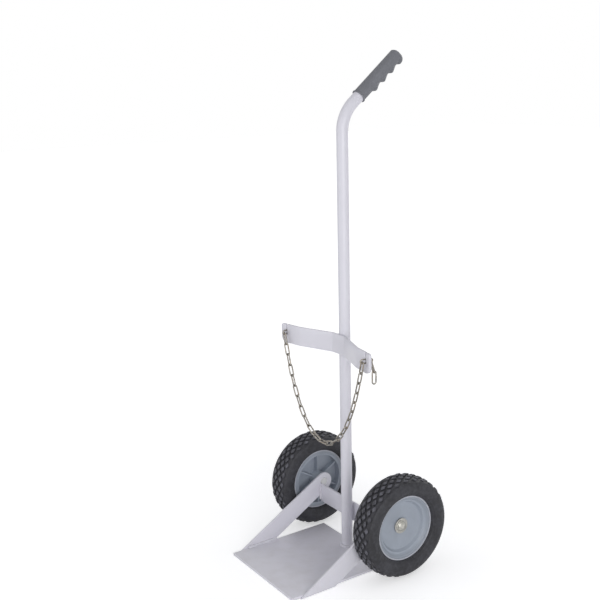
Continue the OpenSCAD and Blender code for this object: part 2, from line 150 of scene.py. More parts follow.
class TrolleyWheelSizes(PropertyGroup):
    """Sizes of the tyres, hubs and what holds them on their axles."""

    wheel_r: length("Wheel radius", "Radius over the tread", 98)
    half_w: length("Half width", "Half width of the tyre", 27)
    crown_r: length("Crown", "Radius of the tread across the tyre", 66)
    sidewall_bulge: length("Sidewall bulge", "Bulge of the sidewall past its edge at the rim", 9.5)
    flange_r: length("Flange radius", "Radius of the rim's flange", 63)
    seat_r: length("Seat radius", "Radius of the tyre's seat on the rim", 56)
    flange_t: length("Flange", "Thickness of the rim's flanges", 3.5)
    rim_inset: length("Rim inset", "Depth of the rim's edge inside the tyre's side", 1)
    tread_rows: IntProperty(name="Blocks", description="Tread blocks in one row", default=28)
    tread_pitch: length("Row spacing", "Distance between tread rows across the tyre", 7.2)
    groove_depth: length("Groove depth", "Depth of the grooves between blocks", 3.6)
    groove_width: length("Groove width", "Width of the grooves between blocks", 4.4)
    hub_wall: length("Hub wall", "Wall of the rim and web", 4)
    lip_face: length("Lip face", "Width of the bare ring on the rim", 7.5)
    dish_r: length("Dish radius", "Radius at the foot of the hub's dish", 47)
    dish_z: length("Dish floor", "Height of the dish's floor at its edge", 4)
    boss_z: length("Boss height", "Height of the centre boss", 2)
    boss_r: length("Boss radius", "Radius of the centre boss", 16.12)
    bore_r: length("Hub bore", "Radius of the boss's bore", 10.62)
    rib_count: IntProperty(name="Ribs", description="Ribs behind the web", default=6)
    rib_depth: length("Rib depth", "Back edge of the ribs behind the middle plane", 13)
    axle_r: length("Axle radius", "Radius of a stub axle", 7.95)
    bush_length: length("Bush length", "Length of a bush in the boss", 11)
    bush_flange: length("Bush flange", "Thickness of a bush's flange", 1.5)
    washer_r: length("Washer radius", "Outside radius of a washer", 15)
    cap_dome: length("Cap dome", "Height of the cap's dome", 3)
    cap_wall: length("Cap wall", "Metal of the cap", 1.2)
    cap_foot: length("Cap foot", "Width of the cap's foot outside its dome", 1.6)


class TrolleyChainSizes(PropertyGroup):
    """Sizes of the chain and its keeper ring."""

    wire_r: length("Wire radius", "Radius of the chain's wire", 1.4)
    inner_w: length("Inner width", "Space inside a link, across", 4.6)
    inner_l: length("Inner length", "Space inside a link, along", 21.4)
    room: length("Room", "Room between two links that hang on each other", 0.3)
    loop_links: IntProperty(name="Loop links", description="Links in the hanging loop", default=23)
    tail_links: IntProperty(name="Spare links", description="Links behind the right ear", default=2)
    tail_lean: angle("Spare lean", "Lean of the first spare link away from the ear", 16)
    ring_r: length("Ring radius", "Radius of the keeper ring's wire circle", 10.5)
    ring_wire_r: length("Ring wire", "Radius of the keeper ring's wire", 1.5)


class TrolleyColours(PropertyGroup):
    """Colours of the finishes."""

    paint: colour("Paint", "White paint of the frame", (0.735, 0.725, 0.79))
    grip: colour("Grip", "Grey vinyl of the grip", (0.206, 0.211, 0.233))
    rubber: colour("Rubber", "Black rubber of the tyres", (0.031, 0.031, 0.037))
    hub: colour("Hub", "Blue-grey plastic of the hubs", (0.335, 0.37, 0.43))
    zinc: colour("Zinc", "Dull zinc of the chain", (0.30, 0.28, 0.25))
    washer: colour("Washer", "Cleaner zinc of the washers", (0.44, 0.43, 0.40))
    steel: colour("Steel", "Bare steel of the axles", (0.45, 0.45, 0.46))
    cap: colour("Cap", "Yellowed plating of the axle caps", (0.47, 0.46, 0.42))
    nylon: colour("Bush", "Nylon of the bushes", (0.72, 0.71, 0.66))


# Where a noise pattern's low and high patches lie, and the sockets of a Mix node in colour mode
PATCHES = (0.3, 0.7)
MIX_SHARE, MIX_FIRST, MIX_SECOND, MIX_RESULT = 0, 6, 7, 2


def shade(base, share):
    """A colour times a share."""
    return tuple(min(1.0, part * share) for part in base)


class Finish:
    """A procedural material, put together node by node.

    A pattern's cells are its noise cells a metre, and its detail is the noise's octaves.
    """

    def __init__(self, name, base, roughness, metallic=0.0):
        self.base = tuple(base)
        self.material = bpy.data.materials.new(name)
        self.material.use_nodes = True
        self.material.diffuse_color = (*self.base, 1.0)
        self.tree = self.material.node_tree
        self.shader = self.tree.nodes["Principled BSDF"]
        self.set("Base Color", (*self.base, 1.0))
        self.set("Roughness", roughness)
        self.set("Metallic", metallic)
        self.place = self.node("TexCoord").outputs["Object"]

    def feed(self, socket, value):
        """Links an output to a socket, or sets the socket's value."""
        if isinstance(value, bpy.types.NodeSocket):
            self.tree.links.new(value, socket)
        else:
            socket.default_value = value

    def set(self, socket, value):
        """Sets a socket of the shader, or links an output to it."""
        self.feed(self.shader.inputs[socket], value)

    def node(self, kind, inputs=None, **settings):
        """Adds a node. Inputs are values, or outputs to link."""
        made = self.tree.nodes.new("ShaderNode" + kind)
        for key, value in settings.items():
            setattr(made, key, value)
        for key, value in (inputs or {}).items():
            self.feed(made.inputs[key], value)
        return made

    def maths(self, kind, first, second):
        """A sum, product or other step on two values."""
        return self.node("Math", {0: first, 1: second}, operation=kind).outputs[0]

    def mix(self, share, first, second):
        """Mixes two colours."""
        inputs = {MIX_SHARE: share}
        for socket, value in ((MIX_FIRST, first), (MIX_SECOND, second)):
            linked = isinstance(value, bpy.types.NodeSocket)
            inputs[socket] = value if linked else (*value, 1.0)
        return self.node("Mix", inputs, data_type="RGBA").outputs[MIX_RESULT]

    def span(self, value, low, high, to_low, to_high):
        """Maps a value from one span to another, held at its ends."""
        inputs = {
            "Value": value, "From Min": low, "From Max": high, "To Min": to_low, "To Max": to_high
        }
        return self.node("MapRange", inputs).outputs["Result"]

    def noise(self, cells, detail, stretch=(1, 1, 1), distortion=0.0):
        """A noise pattern."""
        place = self.node("Mapping", {"Vector": self.place, "Scale": stretch})
        inputs = {
            "Vector": place.outputs[0], "Scale": cells, "Detail": detail, "Distortion": distortion
        }
        return self.node("TexNoise", inputs).outputs["Fac"]

    def patches(self, cells, detail, low, high, distortion=0.0):
        """Soft patches that drift between two values."""
        return self.span(self.noise(cells, detail, distortion=distortion), *PATCHES, low, high)

    def marks(self, cells, detail, low, high, share):
        """Marks where a noise pattern rises from low to high, at most a share strong."""
        return self.span(self.noise(cells, detail), low, high, 0.0, share)

    def shade(self, share):
        """The base colour times a share."""
        return shade(self.base, share)

    def mottled(self, cells, detail, dark, light, distortion=0.0):
        """The base colour in patches, between two shares of it."""
        drift = self.patches(cells, detail, 0.0, 1.0, distortion)
        return self.mix(drift, self.shade(dark), self.shade(light))

    def roughen(self, cells, detail, low, high):
        """Lets the roughness drift between two values."""
        self.set("Roughness", self.patches(cells, detail, low, high))

    def bump(self, height, depth, strength, under=None):
        """Raises the surface by height times depth, over an earlier bump."""
        inputs = {"Height": height, "Distance": depth, "Strength": strength}
        if under is not None:
            inputs["Normal"] = under
        return self.node("Bump", inputs).outputs["Normal"]

    def grain(self, cells, detail, depth, strength):
        """Gives the surface a fine grain."""
        self.set("Normal", self.bump(self.noise(cells, detail), depth, strength))

    def along(self, axis):
        """The place's distance along X, Y or Z."""
        return self.node("SeparateXYZ", {"Vector": self.place}).outputs[axis]

    def wheel_radius(self):
        """The place's distance from the wheels' common axis."""
        to_axis = (0, -WHEEL_MIDDLE.y, -WHEEL_MIDDLE.z)
        inputs = {"Vector": self.place, "Location": to_axis, "Scale": (0, 1, 1)}
        flat = self.node("Mapping", inputs).outputs[0]
        return self.node("VectorMath", {0: flat}, operation="LENGTH").outputs["Value"]

    def edges(self, low, high):
        """Near 1 along outer edges and 0 elsewhere."""
        sharp = self.node("NewGeometry").outputs["Pointiness"]
        return self.span(sharp, low, high, 0.0, 1.0)


def paint_finish(colours):
    """White powder coat with a faint orange peel, greyer in patches near the floor, and rubbed
    edges.
    """
    low_grey_colour, rubbed_colour, low_grey_top = (0.50, 0.48, 0.47), (0.42, 0.41, 0.41), 50 * MM
    coat = Finish("white_paint", colours.paint, 0.4)
    # The paint turns greyer in patches near the floor, fading out 50 mm up
    low = coat.span(coat.along("Z"), 0.0, low_grey_top, 1.0, 0.0)
    low_greying = coat.maths("MULTIPLY", low, coat.marks(38, 6, 0.42, 0.75, 0.28))
    tone = coat.mix(low_greying, coat.mottled(9, 4, 0.97, 1.02), low_grey_colour)
    rubbed = coat.maths("MULTIPLY", coat.edges(0.57, 0.68), coat.marks(160, 5, 0.58, 0.68, 0.4))
    coat.set("Base Color", coat.mix(rubbed, tone, rubbed_colour))
    coat.roughen(35, 4, 0.34, 0.46)
    peel = coat.bump(coat.noise(650, 2), 0.12 * MM, 0.3)
    coat.set("Normal", coat.bump(coat.noise(70, 3), 0.2 * MM, 0.2, peel))
    coat.set("Coat Weight", 0.15)
    coat.set("Coat Roughness", 0.25)
    return coat.material


def weld_finish(colours):
    """The same paint, thinner and duller over a bead."""
    bead = Finish("painted_bead", shade(colours.paint, 0.93), 0.45)
    bead.set("Base Color", bead.mottled(180, 4, 0.86, 1.04))
    bead.roughen(220, 3, 0.38, 0.55)
    bead.grain(900, 3, 0.2 * MM, 0.4)
    return bead.material


def grip_finish(colours):
    """Grey vinyl with a fine leathery grain, paler where hands rub it."""
    vinyl = Finish("grey_vinyl", colours.grip, 0.6)
    grain = vinyl.noise(1100, 3)
    pores = vinyl.span(grain, 0.35, 0.65, 0.0, 1.0)
    tone = vinyl.mix(pores, vinyl.shade(0.78), vinyl.mottled(45, 4, 0.86, 1.12))
    worn = vinyl.maths("MULTIPLY", vinyl.edges(0.505, 0.56), vinyl.marks(90, 4, 0.4, 0.7, 0.5))
    vinyl.set("Base Color", vinyl.mix(worn, tone, vinyl.shade(1.35)))
    vinyl.roughen(120, 4, 0.5, 0.72)
    cells = vinyl.node("TexVoronoi", {"Vector": vinyl.place, "Scale": 620.0}).outputs["Distance"]
    leather = vinyl.bump(cells, 0.35 * MM, 0.5)
    vinyl.set("Normal", vinyl.bump(grain, 0.3 * MM, 0.5, leather))
    vinyl.set("Specular IOR Level", 0.35)
    return vinyl.material


def rubber_finish(colours):
    """Black tyre rubber, with painted shade down in the grooves and tread tops paler, partly
    scuffed and partly a painted highlight.
    """
    w = bpy.context.scene.trolley_wheels
    rubber = Finish("worn_rubber", colours.rubber, 0.62)
    drift = rubber.marks(24, 6, 0.32, 0.68, 1.0)
    tone = rubber.mix(drift, rubber.shade(0.5), rubber.shade(1.2))
    tone = rubber.mix(rubber.marks(130, 6, 0.45, 0.75, 0.5), tone, rubber.shade(2.0))
    radius = rubber.wheel_radius()
    across = rubber.maths("ABSOLUTE", rubber.along("X"), 0.0)
    across = rubber.maths("SUBTRACT", across, WHEEL_MIDDLE.x)
    fall = rubber.maths("DIVIDE", rubber.maths("MULTIPLY", across, across), 2 * w.crown_r)
    level = rubber.maths("ADD", radius, fall)

    def risen(bottom, top):
        """0 to 1 between two depths under the tread, as shares of a groove's depth."""
        low, high = (w.wheel_r - share * w.groove_depth for share in (bottom, top))
        return rubber.span(level, low, high, 0.0, 1.0)

    # Painted shade: the rubber darkens towards the floor of the grooves between the blocks
    on_tread = rubber.span(radius, 0.925 * w.wheel_r, 0.945 * w.wheel_r, 0.0, 1.0)
    depth = rubber.maths("MULTIPLY", on_tread, rubber.maths("SUBTRACT", 1.0, risen(1.0, 0.35)))
    tone = rubber.mix(depth, tone, rubber.shade(0.9))
    # The block tops turn paler in patches: partly scuffing, partly a painted highlight where light
    # falls on them
    tops_scuff_and_highlight = rubber.span(rubber.noise(120, 6), 0.36, 0.66, 0.1, 1.0)
    tops_scuff_and_highlight = rubber.maths("MULTIPLY", risen(0.5, 0.1), tops_scuff_and_highlight)
    rubber.set("Base Color", rubber.mix(tops_scuff_and_highlight, tone, rubber.shade(3.8)))
    rubber.roughen(200, 4, 0.5, 0.72)
    rubber.grain(1500, 3, 0.2 * MM, 0.5)
    rubber.set("Specular IOR Level", 0.4)
    return rubber.material


def hub_finish(colours):
    """Moulded blue-grey plastic, with painted shade from its recess outwards and a painted
    highlight on its edge.
    """
    rim_r, highlight_colour = bpy.context.scene.trolley_wheels.flange_r, (0.56, 0.565, 0.62)
    plastic = Finish("grey_plastic", colours.hub, 0.42)
    tone = plastic.mottled(28, 4, 0.93, 1.05, distortion=0.6)
    tone = plastic.mix(plastic.marks(220, 5, 0.6, 0.8, 0.35), tone, plastic.shade(0.72))
    radius = plastic.wheel_radius()
    # Painted shade: the plastic darkens from the recess out to the rim
    recess = plastic.span(radius, rim_r - 9 * MM, rim_r - 7 * MM, 0.0, 0.5)
    tone = plastic.mix(recess, tone, plastic.shade(0.72))
    # Painted highlight: a pale ring in patches along the raised edge
    edge = plastic.span(radius, rim_r - 3.2 * MM, rim_r - 2.6 * MM, 0.0, 1.0)
    pale = plastic.maths("MULTIPLY", edge, plastic.patches(150, 4, 0.35, 0.8))
    plastic.set("Base Color", plastic.mix(pale, tone, highlight_colour))
    plastic.roughen(90, 4, 0.34, 0.5)
    plastic.grain(800, 3, 0.12 * MM, 0.4)
    return plastic.material


def zinc_finish(colours):
    """Dulled zinc plate, warm and mottled."""
    plate = Finish("dull_zinc", colours.zinc, 0.34, 0.85)
    tone = plate.mottled(260, 5, 0.55, 1.3, distortion=0.4)
    warm_colour = (0.31, 0.24, 0.17)
    tone = plate.mix(plate.marks(120, 4, 0.5, 0.7, 0.55), tone, warm_colour)
    spots = plate.marks(700, 3, 0.6, 0.7, 0.6)
    plate.set("Base Color", plate.mix(spots, tone, plate.shade(0.3)))
    plate.roughen(320, 4, 0.22, 0.45)
    plate.grain(1300, 3, 0.1 * MM, 0.5)
    return plate.material


def washer_finish(colours):
    """Cleaner zinc plate, faintly clouded."""
    plate = Finish("clean_zinc", colours.washer, 0.36, 0.6)
    plate.set("Base Color", plate.mottled(240, 4, 0.8, 1.12))
    plate.roughen(300, 4, 0.28, 0.46)
    plate.grain(1100, 3, 0.1 * MM, 0.4)
    return plate.material


def steel_finish(colours):
    """Turned steel with fine rings along its axis."""
    bar = Finish("turned_steel", colours.steel, 0.32, 1.0)
    bar.set("Base Color", bar.mottled(60, 4, 0.85, 1.1))
    bar.roughen(160, 4, 0.25, 0.42)
    rings = bar.noise(1800, 2, stretch=(1, 0.04, 0.04))
    bar.set("Normal", bar.bump(rings, 0.08 * MM, 0.6))
    return bar.material


def cap_finish(colours):
    """Yellow-passivated push-on cap, a little cloudy."""
    stain_colour = (0.24, 0.23, 0.20)
    cap = Finish("cloudy_cap", colours.cap, 0.35, 0.6)
    stain = cap.marks(110, 4, 0.5, 0.7, 0.6)
    cap.set("Base Color", cap.mix(stain, cap.mottled(240, 5, 0.8, 1.15), stain_colour))
    cap.roughen(300, 4, 0.25, 0.45)
    cap.grain(900, 3, 0.12 * MM, 0.4)
    return cap.material


def nylon_finish(colours):
    """Off-white nylon, greyed by grease."""
    grease_colour = (0.33, 0.31, 0.27)
    nylon = Finish("greased_nylon", colours.nylon, 0.45)
    grease = nylon.marks(240, 4, 0.5, 0.72, 0.6)
    nylon.set("Base Color", nylon.mix(grease, nylon.base, grease_colour))
    nylon.roughen(180, 4, 0.34, 0.55)
    nylon.grain(900, 2, 0.1 * MM, 0.4)
    return nylon.material


FINISHES = {
    "white_paint": paint_finish,
    "painted_bead": weld_finish,
    "grey_vinyl": grip_finish,
    "worn_rubber": rubber_finish,
    "grey_plastic": hub_finish,
    "dull_zinc": zinc_finish,
    "clean_zinc": washer_finish,
    "turned_steel": steel_finish,
    "cloudy_cap": cap_finish,
    "greased_nylon": nylon_finish,
}


def finish_named(name):
    """The material of that name, made when it is first asked for."""
    made = bpy.data.materials.get(name)
    return made or FINISHES[name](bpy.context.scene.trolley_colours)


def place_piece(bm, name, body, node, finish, sharp_degrees=35):
    """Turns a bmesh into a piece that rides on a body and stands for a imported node."""
    bmesh.ops.remove_doubles(bm, verts=bm.verts, dist=SAME_PLACE)
    bmesh.ops.recalc_face_normals(bm, faces=bm.faces)
    mesh = bpy.data.meshes.new(name)
    bm.to_mesh(mesh)
    bm.free()
    mesh.polygons.foreach_set("use_smooth", [True] * len(mesh.polygons))
    mesh.set_sharp_from_angle(angle=math.radians(sharp_degrees))
    mesh.materials.append(finish_named(finish))
    piece = bpy.data.objects.new(name, mesh)
    bpy.context.scene.collection.objects.link(piece)
    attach(piece, body)
    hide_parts(node)


def place_painted(bm, name, node):
    """A painted piece of the frame."""
    place_piece(bm, name, "frame", node, "white_paint")


def verts_of(geom):
    """The vertices among some geometry."""
    return [g for g in geom if isinstance(g, bmesh.types.BMVert)]


def edges_of(geom):
    """The edges among some geometry."""
    return [g for g in geom if isinstance(g, bmesh.types.BMEdge)]


def move(bm, matrix):
    """Moves a whole bmesh."""
    bmesh.ops.transform(bm, matrix=matrix, verts=bm.verts)


def pour_into(whole, bm, matrix=None):
    """Adds one bmesh to another, moved by a matrix, and frees it."""
    if matrix is not None:
        move(bm, matrix)
    carrier = bpy.data.meshes.new("carrier")
    bm.to_mesh(carrier)
    bm.free()
    whole.from_mesh(carrier)
    bpy.data.meshes.remove(carrier)


def round_edges(bm, width, segments=3, over_degrees=40):
    """Bevels every edge whose faces meet at more than an angle."""
    bmesh.ops.remove_doubles(bm, verts=bm.verts, dist=SAME_PLACE)
    bmesh.ops.recalc_face_normals(bm, faces=bm.faces)
    limit = math.radians(over_degrees)
    sharp = [e for e in bm.edges if len(e.link_faces) == 2 and e.calc_face_angle(0.0) > limit]
    bmesh.ops.bevel(
        bm, geom=sharp, offset=width, offset_type="OFFSET", affect="EDGES", segments=segments,
        profile=0.5, material=-1, clamp_overlap=True,
    )


def draw_line(bm, points, closed=False):
    """Vertices through the points, joined by edges."""
    verts = [bm.verts.new(p) for p in points]
    pairs = list(zip(verts, verts[1:])) + ([(verts[-1], verts[0])] if closed else [])
    return verts, [bm.edges.new(pair) for pair in pairs]


def turn_profile(bm, profile, steps, closed=True):
    """Spins a profile of (radius, height) points once round +Z."""
    verts, edges = draw_line(bm, [(r, 0, z) for r, z in profile], closed)
    bmesh.ops.spin(
        bm, geom=verts + edges, axis=(0, 0, 1), angle=FULL, steps=steps, use_merge=True
    )
    bmesh.ops.remove_doubles(bm, verts=bm.verts, dist=SAME_PLACE)


def axle_matrix(side):
    """From a piece's own axis, +Z outwards, to the wheel's place on one side."""
    middle = Vector((side * WHEEL_MIDDLE.x, WHEEL_MIDDLE.y, WHEEL_MIDDLE.z))
    return Matrix.Translation(middle) @ Matrix.Rotation(side * QUARTER, 4, "Y")


def turned_piece(name, profile, side, body, node, finish, steps, edge=0.0, closed=True):
    """A piece of revolution on a wheel's axis."""
    bm = bmesh.new()
    turn_profile(bm, profile, steps, closed)
    if edge:
        round_edges(bm, edge, 2)
    move(bm, axle_matrix(side))
    place_piece(bm, name, body, node, finish)


def block(size, middle, edge, segments=3):
    """A bmesh box with rounded edges."""
    bm = bmesh.new()
    bmesh.ops.create_cube(bm, size=1.0)
    bmesh.ops.scale(bm, vec=size, verts=bm.verts)
    bmesh.ops.translate(bm, vec=middle, verts=bm.verts)
    round_edges(bm, edge, segments)
    return bm


def arc_points(middle, radius, start, end, steps):
    """Points on an arc, in degrees, both ends included."""
    turns = [math.radians(start + (end - start) * i / steps) for i in range(steps + 1)]
    return [(middle[0] + radius * math.cos(t), middle[1] + radius * math.sin(t)) for t in turns]


def plate_from_loops(loops, thickness, edge):
    """A flat plate in X and Z with holes, thickness along +Y, with rounded edges."""
    bm = bmesh.new()
    edges = []
    for loop in loops:
        edges += draw_line(bm, [(u, 0, w) for u, w in loop], True)[1]
    bmesh.ops.triangle_fill(bm, use_beauty=True, use_dissolve=False, edges=edges)
    made = bmesh.ops.extrude_face_region(bm, geom=list(bm.faces))
    bmesh.ops.translate(bm, vec=(0, thickness, 0), verts=verts_of(made["geom"]))
    round_edges(bm, edge, 2)
    return bm


def smooth_step(value):
    """Eases 0 to 1."""
    value = min(1.0, max(0.0, value))
    return value * value * (3 - 2 * value)


def tube_y(s):
    """How far back the upright's axis stands."""
    return TUBE_LOW.y + s.tube_r


class TROLLEY_OT_upright(Operator):
    """Model the upright tube and its bent handle"""

    bl_idname = "trolley.upright"
    bl_label = "Upright tube"

    AROUND, BEND_STEPS = 56, 28

    def execute(self, context):
        s = context.scene.trolley_frame
        bm = bmesh.new()
        made = bmesh.ops.create_circle(bm, cap_ends=False, radius=s.tube_r, segments=self.AROUND)
        bmesh.ops.translate(bm, vec=(0, tube_y(s), TUBE_LOW.z), verts=made["verts"])
        top = bmesh.ops.extrude_edge_only(bm, edges=list(bm.edges))["geom"]
        bmesh.ops.translate(bm, vec=(0, 0, s.bend_z - TUBE_LOW.z), verts=verts_of(top))
        made = bmesh.ops.spin(
            bm, geom=[g for g in top if not isinstance(g, bmesh.types.BMFace)],
            cent=(0, tube_y(s) + s.bend_r, s.bend_z), axis=(-1, 0, 0), angle=s.bend_angle,
            steps=self.BEND_STEPS,
        )
        made = bmesh.ops.extrude_edge_only(bm, edges=edges_of(made["geom_last"]))
        run = s.neck + s.grip_length - s.grip_dome - GRIP_END - TUBE_SHORT
        along = Vector((0, math.sin(s.bend_angle), math.cos(s.bend_angle)))
        bmesh.ops.translate(bm, vec=along * run, verts=verts_of(made["geom"]))
        bmesh.ops.recalc_face_normals(bm, faces=bm.faces)
        bmesh.ops.solidify(bm, geom=bm.faces[:], thickness=s.tube_wall)
        place_painted(bm, "upright_tube", "main_tube")
        return {"FINISHED"}


class TROLLEY_OT_grip(Operator):
    """Model the hand grip with its finger ridges"""

    bl_idname = "trolley.grip"
    bl_label = "Hand grip"

    AROUND, RINGS, DOME_STEPS = 72, 96, 14
    # Rounding of the mouth and lip, and the slope from the lip to the sleeve
    SOFT, LIP_SLOPE = 0.5 * MM, 0.6 * MM
    # How much lower than the sleeve a ridge starts, and the least radius that a ridge moves
    RIDGE_SUNK, CORE_R = 0.3 * MM, 0.2 * MM
    # Room over the bore in which no point is moved
    BORE_ROOM = 0.1 * MM
    # How far the last ridge falls towards the end, and how round a ridge's tip is, as shares
    LAST_FALL, ROUND_TIP = 0.3, 0.3
    # A high power joins ridge and sleeve with a small fillet
    JOIN_POWER = 48

    def execute(self, context):
        s = context.scene.trolley_frame
        self.bore_r = s.tube_r + SEAT_ROOM
        self.grip_r = s.tube_r + s.grip_wall
        self.dome_start = s.grip_length - s.grip_dome
        self.start = s.lip_length + self.LIP_SLOPE
        bm = bmesh.new()
        turn_profile(bm, self.sleeve(s), self.AROUND, False)
        for vert in bm.verts:
            self.raise_ridge(vert, s)
        sine, cosine = math.sin(s.bend_angle), math.cos(s.bend_angle)
        bend_end = Vector((0, tube_y(s) + s.bend_r * (1 - cosine), s.bend_z + s.bend_r * sine))
        tilt = Matrix.Rotation(-s.bend_angle, 4, "X")
        place = Matrix.Translation(bend_end) @ tilt @ Matrix.Translation((0, 0, s.neck))
        move(bm, place)
        place_piece(
            bm, "grip_sleeve", "frame", "hand_grip", "grey_vinyl", GRIP_SHARP
        )
        return {"FINISHED"}

    def sleeve(self, s):
        """The plain sleeve's profile: bore, lip, outside and dome."""
        bore_r, grip_r, soft = self.bore_r, self.grip_r, self.SOFT
        lip_r = grip_r + s.lip_height
        bore_end = self.dome_start - GRIP_END
        profile = [(0, bore_end), (bore_r, bore_end), (bore_r, soft), (bore_r + soft, 0)]
        profile += [(lip_r - soft, 0), (lip_r, soft), (lip_r, s.lip_length - soft)]
        profile += [(lip_r - soft, s.lip_length)]
        run = self.dome_start - self.start
        profile += [(grip_r, self.start + run * i / self.RINGS) for i in range(self.RINGS + 1)]
        dome_r = (grip_r**2 + s.grip_dome**2) / (2 * s.grip_dome)
        for i in range(1, self.DOME_STEPS + 1):
            up = s.grip_dome * math.sin(QUARTER * i / self.DOME_STEPS)
            across = dome_r**2 - (dome_r - s.grip_dome + up) ** 2
            profile.append((math.sqrt(max(0.0, across)), self.dome_start + up))
        return profile

    def raise_ridge(self, vert, s):
        """Moves one point of the sleeve out to the ridge that covers it."""
        radius = math.hypot(vert.co.x, vert.co.y)
        in_bore = radius < self.bore_r + self.BORE_ROOM and vert.co.z < self.dome_start
        if vert.co.z < self.start or radius < self.CORE_R or in_bore:
            return
        share = self.ridge_share(vert.co.z, s)
        reach = self.grip_r - (s.ridge_height + self.RIDGE_SUNK) * (1 - share)
        if vert.co.z > self.dome_start:
            reach *= math.sqrt(radius / self.grip_r)
        towards = vert.co.y / radius
        inside = reach**2 - (s.ridge_height * math.sqrt(max(0.0, 1 - towards**2))) ** 2
        if inside <= 0:
            return
        ridge = max(0.0, s.ridge_height * towards + math.sqrt(inside))
        grown = (radius**self.JOIN_POWER + ridge**self.JOIN_POWER) ** (1 / self.JOIN_POWER)
        vert.co.x *= grown / radius
        vert.co.y *= grown / radius

    def ridge_share(self, z, s):
        """How far the nearest ridge stands out at a place along the grip, from 0 to 1."""
        best = 0.0
        for i in range(s.ridge_count):
            foot = s.ridge_start + i * s.ridge_pitch
            tip = foot + s.ridge_rise
            if z <= tip:
                share = (z - foot) / s.ridge_rise
            elif i == s.ridge_count - 1:
                share = 1 - (z - tip) / (s.grip_length - tip) * self.LAST_FALL
            else:
                share = 1 - (z - tip) / (s.ridge_pitch - s.ridge_rise)
            best = max(best, share)
        return (1 - self.ROUND_TIP) * best + self.ROUND_TIP * smooth_step(best)


class TROLLEY_OT_toe_plate(Operator):
    """Model the toe plate"""

    bl_idname = "trolley.toe_plate"
    bl_label = "Toe plate"

    def execute(self, context):
        edge = context.scene.trolley_frame.edge_r
        bm = block(PLATE_HIGH - PLATE_LOW, (PLATE_LOW + PLATE_HIGH) / 2, edge)
        place_painted(bm, "floor_plate", "toe_plate")
        return {"FINISHED"}


class TROLLEY_OT_bars(Operator):
    """Model the two side braces and the cross bar"""

    bl_idname = "trolley.bars"
    bl_label = "Braces and cross bar"

    END_STEPS, HOLE_STEPS = 24, 24

    def execute(self, context):
        s = context.scene.trolley_frame
        axle = (WHEEL_MIDDLE.y, WHEEL_MIDDLE.z)
        slope = math.atan2(axle[1], axle[0] + s.brace_foot)
        half = s.bar_w / 2
        along_floor = half / math.sin(slope)
        turn = math.degrees(slope)
        outline = [(-s.brace_foot - along_floor, 0), (-s.brace_foot + along_floor, 0)]
        outline += arc_points(axle, half, turn - 90, turn + 90, self.END_STEPS)
        hole_r = context.scene.trolley_wheels.axle_r + SEAT_ROOM
        hole = arc_points(axle, hole_r, 0, 360, self.HOLE_STEPS)[:-1]
        for name in SIDE_NAMES.values():
            bm = plate_from_loops([outline, hole], s.bar_t, s.edge_r)
            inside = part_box("brace_" + name)[0].x
            swap = Matrix(((0, 1, 0, inside), (1, 0, 0, 0), (0, 0, 1, 0), (0, 0, 0, 1)))
            move(bm, swap)
            place_painted(bm, "side_brace_" + name, "brace_" + name)
        bm = block(CROSS_HIGH - CROSS_LOW, (CROSS_LOW + CROSS_HIGH) / 2, s.edge_r)
        place_painted(bm, "rear_bar", "cross_bar")
        return {"FINISHED"}


